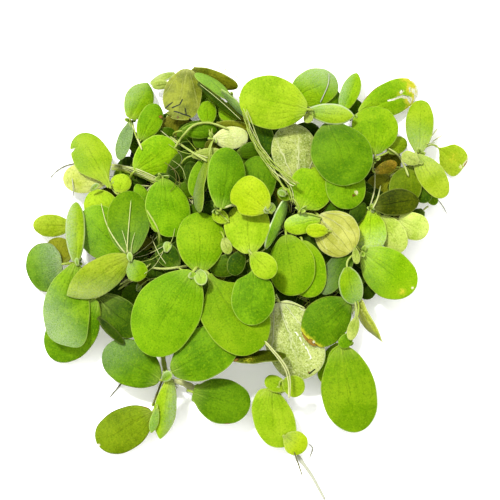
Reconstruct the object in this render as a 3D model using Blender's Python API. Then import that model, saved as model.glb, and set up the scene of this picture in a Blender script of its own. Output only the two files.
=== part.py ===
"""Water lettuce: a tangled colony of small floating rosettes, laid on a flat surface.

The leaves are laid one upon another in the order of LEAVES, the lowest first. Each place in that
list is read from a plan of the colony, drawn square to the sight line from EYE to AIM, in
millimetres right of and above the plan's centre. A leaf keeps its place in the plan and slides
along its sight line towards EYE until it lies clear of those below it. The rows without a node
are the small leaves: they only take their room in the heap.
"""

import math

import bmesh
import bpy
from mathutils import Matrix, Vector
from mathutils.bvhtree import BVHTree

# ---- driving dimensions, in millimetres and degrees ----
MM = 0.001
SIGHT_ELEVATION = 72.0
SIGHT_DISTANCE = 450.0
AIM = Vector((0.0, 0.0, 10.0))

BLADE_THICKNESS = 0.9
BLADE_GAP = 0.34
BLADE_ARCH = 0.05
BLADE_DROOP = 0.14
BLADE_EGG = -0.08
BLADE_FULLNESS = 1.6
BLADE_ROWS = 8
BLADE_COLUMNS = (-1.0, -0.5, 0.0, 0.5, 1.0)

HEAP_HEIGHT = 13.0
HEAP_HALF_WIDTH = 74.0
HEAP_HALF_DEPTH = 66.0
HEAP_EDGE = 1.6
BASE_RISE = 1.2

PITCH_TRIALS = (0.0, 5.0, -5.0, 10.0, -10.0)
ROLL_TRIALS = (0.0, 6.0, -6.0, 12.0, -12.0)
TURN_COST = 0.07
LIFT_STEP = 0.25
FLOOR_GAP = 0.02

MAT_SPOKES = 32
MAT_RINGS = 7
MAT_HALF_WIDTH = 43.0
MAT_HALF_DEPTH = 35.0
MAT_HEIGHT = 9.0
MAT_RIM = 0.9
MAT_THINNEST = 0.3
MAT_CENTRE = Vector((0.0, 12.0, 0.0))
MAT_RIPPLE = 0.05
MAT_LUMP = 0.8
MAT_LOBES = ((222.0, 0.22), (135.0, 0.14), (20.0, 0.06))
MAT_LOBE_SPREAD = 0.35
MAT_ROOM = 2.2
MAT_STEP = 0.4

STEM_RADIUS = 1.7
STEM_SHAPE = ((0.0, 0.75), (0.35, 1.0), (0.75, 0.9), (1.0, 0.5))
STEM_SIDES = 8
STEM_NEAR = 7.0
STEM_SHORTEST = 1.2
STEM_SLIMMER = 0.8
TUBE_SIDES = 6
RUNNER_POINTS = 11
RUNNER_SPREAD = 1.6
LONG_ROOT_POINTS = 8

LEAF_GREEN = (0.30, 0.52, 0.03)
PALE_GREEN = (0.55, 0.68, 0.22)
DARK_GREEN = (0.16, 0.30, 0.02)
KHAKI = (0.52, 0.58, 0.20)
ROOT_BROWN = (0.05, 0.06, 0.02)
STEM_WHITE = (0.62, 0.68, 0.32)

# node or None, base in the plan, tip in the plan, width, roll, colour
LEAVES = (
    ("east_leaf_low", (44.4, 9.3), (53.4, 5.1), 8.4, 0, PALE_GREEN),
    (None, (39.3, 10.2), (45.6, -0.6), 8.1, 0, PALE_GREEN),
    ("west_leaf_low", (-53.4, 7.2), (-65.1, 7.5), 6.9, 0, LEAF_GREEN),
    ("upper_west_leaf_pale", (-43.2, 20.7), (-56.1, 21.6), 9.0, 0, PALE_GREEN),
    (None, (-39.6, 8.4), (-48.6, 16.8), 10.2, 0, LEAF_GREEN),
    (None, (-54.6, -3.6), (-60.0, 3.0), 7.5, 0, DARK_GREEN),
    (None, (-45.9, -13.8), (-33.6, -25.2), 10.5, 0, DARK_GREEN),
    (None, (3.6, 39.0), (4.8, 28.2), 6.6, 0, DARK_GREEN),
    (None, (-13.5, -7.5), (-13.8, -24.0), 6.0, 0, DARK_GREEN),
    (None, (-21.6, -5.1), (-27.3, 1.5), 6.6, 0, DARK_GREEN),
    (None, (-1.5, -3.6), (-12.0, -6.0), 6.6, 0, DARK_GREEN),
    (None, (-2.4, -0.3), (-5.4, -7.5), 5.4, 0, DARK_GREEN),
    (None, (51.3, 19.8), (52.8, 14.1), 5.4, 0, DARK_GREEN),
    (None, (41.4, 29.4), (46.8, 33.0), 5.4, 0, DARK_GREEN),
    (None, (37.5, 23.4), (44.1, 26.1), 5.1, 0, DARK_GREEN),
    ("far_east_leaf_outer", (55.8, 31.2), (64.2, 24.9), 6.0, 0, LEAF_GREEN),
    ("north_east_leaf_torn", (32.7, 41.1), (50.1, 49.2), 10.5, 0, LEAF_GREEN),
    ("north_leaf_olive", (-17.1, 54.3), (-3.6, 48.9), 5.7, 30, DARK_GREEN),
    (None, (-22.5, 53.1), (-30.0, 49.8), 3.3, 0, PALE_GREEN),
    (None, (-24.0, 49.8), (-29.4, 49.2), 3.0, 0, PALE_GREEN),
    (None, (21.6, 42.6), (26.1, 48.0), 6.6, 0, LEAF_GREEN),
    ("north_leaf_sheen", (12.6, 45.6), (25.8, 51.6), 12.3, 0, LEAF_GREEN),
    ("north_east_leaf_upright", (27.3, 40.8), (32.1, 53.1), 6.3, 0, LEAF_GREEN),
    (None, (-12.6, 37.5), (-12.9, 44.7), 6.0, 0, LEAF_GREEN),
    (None, (-5.1, 38.4), (-7.8, 44.1), 6.6, 0, LEAF_GREEN),
    (None, (-10.2, 37.8), (0.0, 36.6), 3.6, 0, DARK_GREEN),
    (None, (-20.4, 35.7), (-9.9, 36.3), 5.1, 0, DARK_GREEN),
    ("north_west_leaf_top", (-36.3, 38.7), (-30.3, 51.0), 9.3, 0, LEAF_GREEN),
    (None, (-36.0, 38.4), (-39.0, 27.0), 4.2, 35, LEAF_GREEN),
    (None, (-32.7, 33.0), (-27.9, 43.8), 7.5, 0, LEAF_GREEN),
    ("south_east_leaf_folded", (32.1, -14.1), (40.2, -27.3), 5.4, 45, KHAKI),
    ("south_west_leaf_under", (-46.2, -14.1), (-60.0, -33.0), 15.0, 0, LEAF_GREEN),
    ("west_leaf_outer", (-56.1, -4.2), (-67.5, -5.4), 13.8, 0, LEAF_GREEN),
    ("far_east_leaf_inner", (48.0, 25.2), (45.6, 13.5), 9.9, 0, LEAF_GREEN),
    ("east_leaf_dark", (37.2, 13.2), (50.7, 15.0), 8.4, 0, DARK_GREEN),
    ("far_east_leaf_upright", (50.7, 29.1), (51.3, 45.0), 8.1, 0, LEAF_GREEN),
    ("far_east_leaf_low", (50.1, 28.5), (58.5, 15.9), 8.4, 0, LEAF_GREEN),
    (None, (50.7, 26.1), (45.6, 28.8), 4.2, 0, PALE_GREEN),
    ("east_leaf_pale", (36.3, 12.0), (35.7, -1.2), 9.3, 0, LEAF_GREEN),
    ("north_leaf_turned", (14.4, 19.8), (12.9, 37.5), 14.4, 0, KHAKI),
    (None, (3.6, 14.1), (1.8, 28.2), 11.1, 0, DARK_GREEN),
    (None, (-13.2, 27.9), (-16.8, 15.9), 6.6, 0, LEAF_GREEN),
    (None, (-17.4, 28.2), (-8.4, 29.4), 3.6, 0, PALE_GREEN),
    (None, (-12.3, 28.2), (-15.0, 11.4), 7.0, 65, KHAKI),
    ("north_west_leaf_ragged", (-18.9, 54.3), (-21.0, 39.0), 12.0, 0, DARK_GREEN),
    (None, (-5.7, 45.0), (-16.2, 53.1), 6.0, 60, PALE_GREEN),
    (None, (-8.4, 47.7), (-0.3, 39.6), 5.0, 60, PALE_GREEN),
    (None, (-11.1, 33.3), (-0.6, 33.9), 6.9, 0, PALE_GREEN),
    ("upper_west_leaf_round", (-34.5, 23.7), (-22.5, 32.1), 12.3, 0, LEAF_GREEN),
    (None, (-27.6, 5.4), (-33.9, 19.8), 5.4, 20, LEAF_GREEN),
    (None, (-39.3, 17.1), (-37.8, 22.8), 6.3, 0, LEAF_GREEN),
    ("upper_west_leaf_notched", (-42.0, 18.9), (-51.3, 34.8), 11.4, 0, LEAF_GREEN),
    ("west_leaf_inner_low", (-36.3, -2.1), (-50.1, 11.1), 15.0, 0, LEAF_GREEN),
    ("west_leaf_inner_top", (-36.0, -1.2), (-36.6, 17.7), 12.9, 0, LEAF_GREEN),
    ("west_leaf_upright", (-52.2, -3.6), (-52.2, 14.4), 6.0, 0, PALE_GREEN),
    ("west_leaf_hanging", (-52.2, -4.2), (-58.2, -27.9), 13.8, 0, LEAF_GREEN),
    ("west_leaf_bright", (-36.6, -2.4), (-54.6, -13.5), 10.5, 0, LEAF_GREEN),
    (None, (-35.7, -3.3), (-32.4, -9.0), 6.3, 0, PALE_GREEN),
    ("centre_west_leaf", (-26.1, 21.9), (-23.1, 3.6), 13.5, 0, LEAF_GREEN),
    ("south_leaf_turned", (8.7, -15.6), (17.4, -38.4), 17.1, 0, KHAKI),
    (None, (-5.7, -32.7), (10.8, -31.5), 9.0, -65, DARK_GREEN),
    ("south_east_leaf_burnt", (30.0, -15.0), (16.8, -27.6), 13.2, 0, LEAF_GREEN),
    (None, (28.5, -28.5), (24.6, -36.0), 6.0, 0, LEAF_GREEN),
    ("south_east_leaf_long", (27.6, -28.8), (32.1, -54.9), 16.2, 0, LEAF_GREEN),
    (None, (30.3, -25.2), (27.0, -29.1), 3.9, 0, LEAF_GREEN),
    (None, (32.1, -20.1), (30.0, -27.0), 3.3, 0, PALE_GREEN),
    (None, (30.6, 0.6), (21.6, -13.2), 7.8, 20, DARK_GREEN),
    ("east_leaf_turned", (20.4, 10.5), (30.6, -0.6), 13.5, 0, KHAKI),
    (None, (21.0, 9.3), (10.2, 6.9), 6.3, 0, LEAF_GREEN),
    ("centre_east_leaf_notched", (14.7, 11.4), (21.3, 24.6), 13.5, 0, LEAF_GREEN),
    ("centre_east_leaf_spotted", (28.8, 27.0), (28.5, 12.3), 12.3, 0, LEAF_GREEN),
    (None, (15.6, 3.0), (18.6, -14.4), 11.7, 0, LEAF_GREEN),
    ("centre_east_leaf_low", (10.8, 4.8), (13.8, -13.8), 13.8, 0, LEAF_GREEN),
    (None, (23.4, 5.7), (16.8, 6.0), 4.2, 0, PALE_GREEN),
    ("east_leaf_large", (33.9, -0.6), (49.2, -12.3), 14.1, 0, LEAF_GREEN),
    (None, (29.1, -5.1), (31.5, -16.2), 7.2, 0, LEAF_GREEN),
    (None, (31.5, 0.6), (32.1, -4.2), 2.4, 0, PALE_GREEN),
    ("north_east_leaf_broad", (37.5, 29.4), (37.2, 42.3), 14.4, 0, LEAF_GREEN),
    ("north_east_leaf_large", (23.1, 39.3), (30.9, 18.9), 18.3, 0, LEAF_GREEN),
    ("north_leaf_large", (16.8, 42.3), (-2.7, 46.5), 16.2, 0, LEAF_GREEN),
    (None, (17.4, 41.7), (31.2, 40.2), 5.7, 0, PALE_GREEN),
    (None, (17.7, 41.4), (17.1, 38.1), 3.0, 0, PALE_GREEN),
    ("centre_leaf_upper", (-8.7, 12.6), (-6.3, 30.6), 11.7, 0, LEAF_GREEN),
    ("south_leaf_front", (-17.1, -42.6), (0.0, -47.1), 13.2, 0, LEAF_GREEN),
    ("south_west_leaf_round", (-27.0, -39.0), (-43.8, -29.7), 13.5, 0, LEAF_GREEN),
    ("south_leaf_broad", (-23.7, -36.6), (-4.2, -25.8), 15.0, 0, LEAF_GREEN),
    ("south_west_leaf_front", (-29.4, -48.6), (-45.9, -58.2), 12.6, 0, LEAF_GREEN),
    ("south_west_leaf_narrow", (-24.0, -39.3), (-27.0, -56.7), 6.6, 0, PALE_GREEN),
    (None, (-27.9, -47.7), (-29.7, -54.9), 2.7, 0, PALE_GREEN),
    ("centre_leaf_south_east", (-12.6, -6.9), (1.8, -30.9), 18.9, 0, LEAF_GREEN),
    ("centre_leaf_south_west", (-17.1, -6.6), (-31.5, -30.9), 19.8, 0, LEAF_GREEN),
    ("centre_leaf_north_west", (-15.0, -6.9), (-15.3, 11.7), 14.4, 0, LEAF_GREEN),
    (None, (4.5, 0.6), (11.1, 15.0), 8.0, 58, LEAF_GREEN),
    ("centre_leaf_middle", (0.0, -1.8), (-1.2, 15.3), 13.5, 0, LEAF_GREEN),
    ("centre_leaf_south", (1.2, -4.8), (0.3, -22.8), 12.6, 0, LEAF_GREEN),
    (None, (0.6, -1.2), (7.2, -7.8), 7.2, 0, LEAF_GREEN),
    ("centre_leaf_top", (5.1, 12.0), (-4.2, 19.8), 11.4, 0, LEAF_GREEN),
    ("front_leaf_long", (6.6, -41.4), (7.2, -59.4), 12.3, 0, LEAF_GREEN),
    (None, (10.8, -41.7), (4.5, -38.7), 4.8, 0, LEAF_GREEN),
    (None, (9.9, -39.3), (16.2, -42.3), 6.3, 0, LEAF_GREEN),
    ("front_leaf_round", (10.5, -55.8), (16.8, -59.7), 7.2, 0, LEAF_GREEN),
    (None, (-6.6, 8.4), (-11.1, 11.4), 4.2, 0, PALE_GREEN),
    (None, (-7.8, 3.6), (-6.3, -1.2), 3.3, 0, PALE_GREEN),
    (None, (12.6, 15.6), (8.4, 18.0), 3.9, 0, LEAF_GREEN),
)

# node, place in the plan of the point where the rosette's leaves meet
STEMS = (
    ("stem_west", (-51.6, -4.2)),
    ("stem_far_east", (49.8, 27.6)),
    ("stem_south_west", (-25.2, -38.4)),
    ("stem_south_east", (30.6, -17.4)),
)

# node, radius at the start and at the end, points in the plan
RUNNERS = (
    ("runner_north", 0.5, 1.3, ((-1.2, 41.4), (2.4, 32.4), (8.4, 23.4), (12.6, 18.0))),
    ("runner_south", 0.55, 0.5, ((5.4, -28.5), (10.2, -34.5), (11.7, -39.0), (11.7, -44.4))),
)
LONG_ROOT = ("root_long", 0.45, 0.3, ((14.1, -61.5), (17.4, -66.0), (20.1, -70.5), (22.5, -75)))


def sight_frame():
    """The eye, and the plan's right and up directions."""
    lean = math.radians(SIGHT_ELEVATION)
    eye = AIM + SIGHT_DISTANCE * Vector((0.0, -math.cos(lean), math.sin(lean)))
    return eye, Vector((1.0, 0.0, 0.0)), Vector((0.0, math.sin(lean), math.cos(lean)))


EYE, PLAN_RIGHT, PLAN_UP = sight_frame()


def plan_point(place, height):
    """The point at a height above the floor that is seen at a place in the plan."""
    on_plan = AIM + place[0] * PLAN_RIGHT + place[1] * PLAN_UP
    along = (height - EYE.z) / (on_plan.z - EYE.z)
    return EYE + (on_plan - EYE) * along


def heap_height(place):
    """How high the heap of leaves nominally is at a place in the plan."""
    fall = (place[0] / HEAP_HALF_WIDTH) ** 2 + (place[1] / HEAP_HALF_DEPTH) ** 2
    return HEAP_EDGE + HEAP_HEIGHT * max(0.0, 1.0 - fall)


def clear_objects():
    for old in list(bpy.data.objects):
        bpy.data.objects.remove(old)


def make_material(name, colour, roughness):
    material = bpy.data.materials.new(name)
    material.use_nodes = True
    shader = material.node_tree.nodes["Principled BSDF"]
    shader.inputs["Base Color"].default_value = (*colour, 1.0)
    shader.inputs["Roughness"].default_value = roughness
    shader.inputs["Metallic"].default_value = 0.0
    return material


class Blade:
    """One leaf blade, as a thin closed form between its base and its tip."""

    def __init__(self, base, tip, width, roll):
        self.base, self.tip = base, tip
        self.width, self.roll = width, roll

    def axes(self):
        along = (self.tip - self.base).normalized()
        side = along.cross(self.centre() - EYE).normalized()
        normal = along.cross(side)
        turn = Matrix.Rotation(math.radians(self.roll), 3, along)
        return along, turn @ side, turn @ normal

    def centre(self):
        return (self.base + self.tip) / 2

    def moved(self, shift):
        return Blade(self.base + shift, self.tip + shift, self.width, self.roll)

    def turned(self, pitch, roll):
        """The same blade with its tip lifted by pitch, and rolled, about its centre."""
        side = self.axes()[1]
        turn = Matrix.Rotation(math.radians(-pitch), 3, side)
        middle = self.centre()
        base = middle + turn @ (self.base - middle)
        tip = middle + turn @ (self.tip - middle)
        return Blade(base, tip, self.width, self.roll + roll)

    def surfaces(self, spare=0.0):
        """Rows of (top, bottom) points from base to tip, grown by a spare clearance."""
        along, side, normal = self.axes()
        length = (self.tip - self.base).length
        start = self.base - spare * along
        rows = []
        for step in range(BLADE_ROWS + 1):
            angle = math.pi * step / BLADE_ROWS
            reach = (length + 2 * spare) * (1 - math.cos(angle)) / 2
            swell = math.sin(angle)
            half = (self.width / 2 + spare) * swell * (1 + BLADE_EGG * math.cos(angle))
            row = []
            for column in BLADE_COLUMNS:
                rise = BLADE_ARCH * length * swell**2
                rise -= BLADE_DROOP * self.width / 2 * column**2 * swell
                thick = BLADE_THICKNESS * (1 - column**2) * min(1.0, BLADE_FULLNESS * swell)
                thick = thick / 2 + spare
                middle = start + reach * along + half * column * side
                row.append((middle + (rise + thick) * normal, middle + (rise - thick) * normal))
            rows.append(row)
        return rows

    def solid(self, spare=0.0):
        """Vertices and faces of the closed blade. Its rim is shared unless there is a spare."""
        rows = self.surfaces(spare)
        points, top, bottom = [], {}, {}

        def add(point):
            points.append(point)
            return len(points) - 1

        for r, row in enumerate(rows):
            at_end = r in (0, len(rows) - 1)
            for c, (upper, lower) in enumerate(row):
                if at_end and c > 0:
                    top[r, c], bottom[r, c] = top[r, 0], bottom[r, 0]
                elif at_end or abs(BLADE_COLUMNS[c]) == 1.0:
                    top[r, c] = bottom[r, c] = add((upper + lower) / 2)
                else:
                    top[r, c], bottom[r, c] = add(upper), add(lower)
        faces = []
        for r in range(len(rows) - 1):
            for c in range(len(BLADE_COLUMNS) - 1):
                corners = ((r, c), (r + 1, c), (r + 1, c + 1), (r, c + 1))
                faces.append([top[k] for k in corners])
                faces.append([bottom[k] for k in reversed(corners)])
        return points, [trimmed(face) for face in faces]


def trimmed(face):
    """A face without the corner that an end of the blade repeats."""
    return [v for i, v in enumerate(face) if v != face[i - 1]]


def triangles(points, faces):
    """The faces cut into fans of triangles, for the search tree and the mesh alike."""
    cut = [(f[0], f[i], f[i + 1]) for f in faces for i in range(1, len(f) - 1)]
    return points, cut


class Heap:
    """All that has been laid down so far, and what a sight line meets first in it."""

    def __init__(self):
        self.points, self.faces, self.tree = [], [], None

    def add(self, points, faces):
        start = len(self.points)
        points, faces = triangles(points, faces)
        self.points += [p.copy() for p in points]
        self.faces += [tuple(start + v for v in f) for f in faces]
        self.tree = BVHTree.FromPolygons(self.points, self.faces)

    def lift_for(self, point, spare):
        """How far a point must slide towards the eye to clear the heap by a spare."""
        if self.tree is None:
            return 0.0
        ray = point - EYE
        distance = ray.length
        hit = self.tree.ray_cast(EYE, ray / distance)
        return max(0.0, distance + spare - hit[3]) if hit[0] else 0.0

    def touches(self, points, faces):
        if self.tree is None:
            return False
        return bool(BVHTree.FromPolygons(*triangles(points, faces)).overlap(self.tree))


def lift_of(blade, heap):
    """How far the whole blade must slide towards the eye, to clear the heap and the floor."""
    lift = 0.0
    for row in blade.surfaces():
        for number, (_, lower) in enumerate(row):
            lift = max(lift, heap.lift_for(lower, BLADE_GAP), FLOOR_GAP - lower.z)
            if number:
                between = (lower + row[number - 1][1]) / 2
                lift = max(lift, heap.lift_for(between, BLADE_GAP))
    return lift


def settle(blade, heap):
    """The blade turned a little and lifted, so that it lies on the heap."""
    best = None
    for pitch in PITCH_TRIALS:
        for roll in ROLL_TRIALS:
            trial = blade.turned(pitch, roll)
            lift = lift_of(trial, heap)
            cost = lift + TURN_COST * (abs(pitch) + abs(roll))
            if best is None or cost < best[0]:
                best = (cost, lift, trial)
    _, lift, blade = best
    towards = (EYE - blade.centre()).normalized()
    blade = blade.moved(lift * towards)
    while heap.touches(*blade.solid(BLADE_GAP)):
        blade = blade.moved(LIFT_STEP * towards)
    return blade


def make_object(name, points, faces, material):
    """One closed solid from points in millimetres."""
    mesh = bpy.data.meshes.new(name)
    form = bmesh.new()
    made = [form.verts.new(point * MM) for point in points]
    for face in faces:
        form.faces.new([made[v] for v in face])
    bmesh.ops.triangulate(form, faces=form.faces[:])
    bmesh.ops.recalc_face_normals(form, faces=form.faces[:])
    form.to_mesh(mesh)
    form.free()
    mesh.materials.append(material)
    bpy.context.scene.collection.objects.link(bpy.data.objects.new(name, mesh))


def lay_leaves(heap, materials):
    """Every leaf on the heap in turn. Returns the settled blades that have a node."""
    laid = []
    for node, base, tip, width, roll, colour in LEAVES:
        start = plan_point(base, heap_height(base) + BASE_RISE)
        end = plan_point(tip, heap_height(tip))
        blade = settle(Blade(start, end, width, roll), heap)
        points, faces = blade.solid()
        heap.add(points, faces)
        if node:
            laid.append(blade)
            make_object(node, *triangles(points, faces), materials[colour])
    return laid


def ring_tube(centres, radii, sides):
    """Points and faces of a closed tube through rings round the given centres."""
    points, faces = [], []
    for number, centre in enumerate(centres):
        before, after = centres[max(0, number - 1)], centres[min(len(centres) - 1, number + 1)]
        heading = (after - before).normalized()
        across = heading.cross(Vector((0.0, 0.0, 1.0)))
        across = across.normalized() if across.length > 0.1 else Vector((1.0, 0.0, 0.0))
        over = across.cross(heading)
        for side in range(sides):
            angle = 2 * math.pi * side / sides
            offset = math.cos(angle) * across + math.sin(angle) * over
            points.append(centre + radii[number] * offset)
    for ring in range(len(centres) - 1):
        for side in range(sides):
            a, b = ring * sides + side, ring * sides + (side + 1) % sides
            faces.append([a, b, b + sides, a + sides])
    faces.append(list(range(sides))[::-1])
    faces.append([(len(centres) - 1) * sides + side for side in range(sides)])
    return points, faces


def smooth_route(places, count):
    """Evenly numbered points of a smooth curve through places in the plan."""
    ends = [places[0], *places, places[-1]]
    route = []
    for number in range(count):
        where = (len(places) - 1) * number / (count - 1)
        part = min(int(where), len(places) - 2)
        t = where - part
        a, b, c, d = (Vector(p) for p in ends[part : part + 4])
        point = 2 * b + (c - a) * t + (2 * a - 5 * b + 4 * c - d) * t**2
        route.append((point + (3 * b - a - 3 * c + d) * t**3) / 2)
    return route


def radii_along(first, last, count):
    return [first + (last - first) * i / (count - 1) for i in range(count)]


def lay_runner(heap, row, material):
    """A runner over what it crosses, without a sharp bend, seen along its route in the plan."""
    node, first, last, places = row
    route = smooth_route(places, RUNNER_POINTS)
    radii = radii_along(first, last, RUNNER_POINTS)
    starts = [plan_point(place, heap_height(place) / 2) for place in route]
    lifts = [
        heap.lift_for(start, RUNNER_SPREAD * radius + BLADE_GAP)
        for start, radius in zip(starts, radii)
    ]
    for _ in range(3):
        lifts = [max(lifts[max(0, i - 1) : i + 2]) for i in range(len(lifts))]
    for _ in range(3):
        ends = [lifts[0], *lifts, lifts[-1]]
        lifts = [sum(ends[i : i + 3]) / 3 for i in range(len(lifts))]
    centres = [c + lift * (EYE - c).normalized() for c, lift in zip(starts, lifts)]
    while heap.touches(*ring_tube(centres, [r + BLADE_GAP for r in radii], TUBE_SIDES)):
        centres = [c + LIFT_STEP * (EYE - c).normalized() for c in centres]
    points, faces = ring_tube(centres, radii, TUBE_SIDES)
    heap.add(points, faces)
    make_object(node, points, faces, material)


def lay_long_root(heap, material):
    """The one long root, which lies out on the floor."""
    node, first, last, places = LONG_ROOT
    route = smooth_route(places, LONG_ROOT_POINTS)
    radii = radii_along(first, last, LONG_ROOT_POINTS)
    centres = [plan_point(place, radius + FLOOR_GAP) for place, radius in zip(route, radii)]
    points, faces = ring_tube(centres, radii, TUBE_SIDES)
    heap.add(points, faces)
    make_object(node, points, faces, material)


def stand_stem(heap, node, place, blades, material):
    """A short stem on the floor, under the point where a rosette's leaves meet."""
    middle = plan_point(place, heap_height(place))
    near = [b for b in blades if (b.base - middle).xy.length < STEM_NEAR]
    foot = sum((b.base for b in near), Vector()) / len(near)
    highest = min(b.base.z for b in near) - BLADE_THICKNESS
    top, radius = highest, STEM_RADIUS
    while True:
        heights = [FLOOR_GAP + (top - FLOOR_GAP) * share for share, _ in STEM_SHAPE]
        centres = [Vector((foot.x, foot.y, height)) for height in heights]
        grown = [radius * part + BLADE_GAP for _, part in STEM_SHAPE]
        if not heap.touches(*ring_tube(centres, grown, STEM_SIDES)):
            break
        top -= LIFT_STEP
        if top < STEM_SHORTEST:
            top, radius = highest, radius * STEM_SLIMMER
    points, faces = ring_tube(centres, [radius * part for _, part in STEM_SHAPE], STEM_SIDES)
    heap.add(points, faces)
    make_object(node, points, faces, material)


def mat_place(angle, share):
    """A place on the floor, at a share of the way from the mat's centre out to its rim."""
    reach = 1 + MAT_RIPPLE * math.sin(9 * angle)
    for lobe_angle, lobe in MAT_LOBES:
        apart = (angle - math.radians(lobe_angle) + math.pi) % (2 * math.pi) - math.pi
        reach += lobe * math.exp(-((apart / MAT_LOBE_SPREAD) ** 2))
    out = Vector((MAT_HALF_WIDTH * math.cos(angle), MAT_HALF_DEPTH * math.sin(angle), 0.0))
    return MAT_CENTRE + share * reach * out


def mat_height(angle, share):
    """How high the mat would stand there with nothing over it."""
    lump = MAT_LUMP * math.sin(3 * angle + 9 * share) * math.sin(5 * angle)
    return MAT_RIM + (MAT_HEIGHT + lump) * (1 - share**2)


def clear_height(heap, place):
    """How high a root may stand at a place on the floor before it meets a leaf."""
    free = 2 * MAT_HEIGHT
    for number in range(9):
        aside = Vector((0.0, 0.0, -1.0))
        if number:
            aside.x = MAT_ROOM * math.cos(math.pi * number / 4)
            aside.y = MAT_ROOM * math.sin(math.pi * number / 4)
        hit = heap.tree.ray_cast(place + aside, Vector((0.0, 0.0, 1.0)))
        if hit[0]:
            free = min(free, hit[0].z - 2 * BLADE_GAP)
    return free


def mat_rim_shares(heap, angles):
    """How far out each spoke of the mat runs before the leaves leave it no room."""
    shares = []
    for angle in angles:
        ring = 1
        while ring < MAT_RINGS:
            if clear_height(heap, mat_place(angle, (ring + 1) / MAT_RINGS)) < MAT_RIM:
                break
            ring += 1
        shares.append(ring / MAT_RINGS)
    after = shares[1:] + shares[:1]
    return [min(shares[i - 1], share, after[i]) for i, share in enumerate(shares)]


def lower_mat(heap, points, faces):
    """Brings down what would touch a leaf."""
    cut = triangles(points, faces)[1]
    touched = True
    while touched:
        grown = [point + Vector((0.0, 0.0, BLADE_GAP)) for point in points]
        pairs = BVHTree.FromPolygons(grown, cut).overlap(heap.tree)
        high = {v for face, _ in pairs for v in cut[face] if points[v].z > MAT_THINNEST}
        for v in high:
            points[v].z = max(MAT_THINNEST, points[v].z - MAT_STEP)
        touched = bool(high)


def make_root_mat(heap, material):
    """The tangle of roots under the leaves, flat below where it lies on the floor."""
    angles = [2 * math.pi * spoke / MAT_SPOKES for spoke in range(MAT_SPOKES)]
    points = [MAT_CENTRE + Vector((0.0, 0.0, min(mat_height(0, 0), clear_height(heap, MAT_CENTRE))))]
    for angle, rim_share in zip(angles, mat_rim_shares(heap, angles)):
        for ring in range(1, MAT_RINGS + 1):
            share = ring / MAT_RINGS
            point = mat_place(angle, share * rim_share)
            point.z = max(MAT_THINNEST, min(mat_height(angle, share), clear_height(heap, point)))
            points.append(point)
    faces = []
    for spoke in range(MAT_SPOKES):
        here = 1 + spoke * MAT_RINGS
        there = 1 + (spoke + 1) % MAT_SPOKES * MAT_RINGS
        faces.append([0, here, there])
        for ring in range(MAT_RINGS - 1):
            faces.append([here + ring, here + ring + 1, there + ring + 1, there + ring])
    lower_mat(heap, points, faces)
    rim = [(spoke + 1) * MAT_RINGS for spoke in range(MAT_SPOKES)]
    foot = len(points)
    points += [Vector((points[r].x, points[r].y, 0.0)) for r in rim]
    for spoke in range(MAT_SPOKES):
        after = (spoke + 1) % MAT_SPOKES
        faces.append([rim[spoke], foot + spoke, foot + after, rim[after]])
    faces.append([foot + spoke for spoke in range(MAT_SPOKES)][::-1])
    make_object("root_mat", points, faces, material)


def build():
    clear_objects()
    colours = {
        LEAF_GREEN: "leaf_green",
        PALE_GREEN: "leaf_pale",
        DARK_GREEN: "leaf_dark",
        KHAKI: "leaf_underside",
    }
    materials = {c: make_material(name, c, 0.55) for c, name in colours.items()}
    stem = make_material("stem", STEM_WHITE, 0.5)
    heap = Heap()
    blades = lay_leaves(heap, materials)
    for row in RUNNERS:
        lay_runner(heap, row, stem)
    lay_long_root(heap, stem)
    for node, place in STEMS:
        stand_stem(heap, node, place, blades, stem)
    make_root_mat(heap, make_material("roots", ROOT_BROWN, 0.9))


build()
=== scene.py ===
"""The looks of the water lettuce colony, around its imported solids.

Every leaf blade is a fine mesh in the place of its solid. The small leaves, which have no solid,
are laid on the heap in the same order and by the same rules as in the part's source. Places in the
plan are millimetres right of and above its centre, seen along the sight line from EYE to AIM.
"""

import math
import random

import bpy
import numpy as np
from mathutils import Matrix, Vector, noise
from mathutils.bvhtree import BVHTree


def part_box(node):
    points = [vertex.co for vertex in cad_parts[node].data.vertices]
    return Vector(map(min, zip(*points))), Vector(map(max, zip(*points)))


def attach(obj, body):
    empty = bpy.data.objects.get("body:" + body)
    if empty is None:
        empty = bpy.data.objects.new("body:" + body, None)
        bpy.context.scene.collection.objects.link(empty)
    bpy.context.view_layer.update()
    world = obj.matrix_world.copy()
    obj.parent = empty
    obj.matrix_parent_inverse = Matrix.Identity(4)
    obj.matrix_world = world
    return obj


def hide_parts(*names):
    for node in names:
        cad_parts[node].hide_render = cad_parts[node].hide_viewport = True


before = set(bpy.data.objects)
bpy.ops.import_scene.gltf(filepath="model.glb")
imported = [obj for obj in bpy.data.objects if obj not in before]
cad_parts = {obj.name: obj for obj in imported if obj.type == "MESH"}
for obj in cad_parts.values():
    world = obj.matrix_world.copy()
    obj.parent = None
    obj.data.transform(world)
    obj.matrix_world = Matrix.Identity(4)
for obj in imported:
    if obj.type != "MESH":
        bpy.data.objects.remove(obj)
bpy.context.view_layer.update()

MM = 0.001

# the sight line and the camera's view, in millimetres and degrees
SIGHT_ELEVATION = 72.0
SIGHT_DISTANCE = 450.0
AIM = Vector((0.0, 0.0, 10.0))
VIEW_WIDTH = 150.0
SENSOR = 36.0

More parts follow.
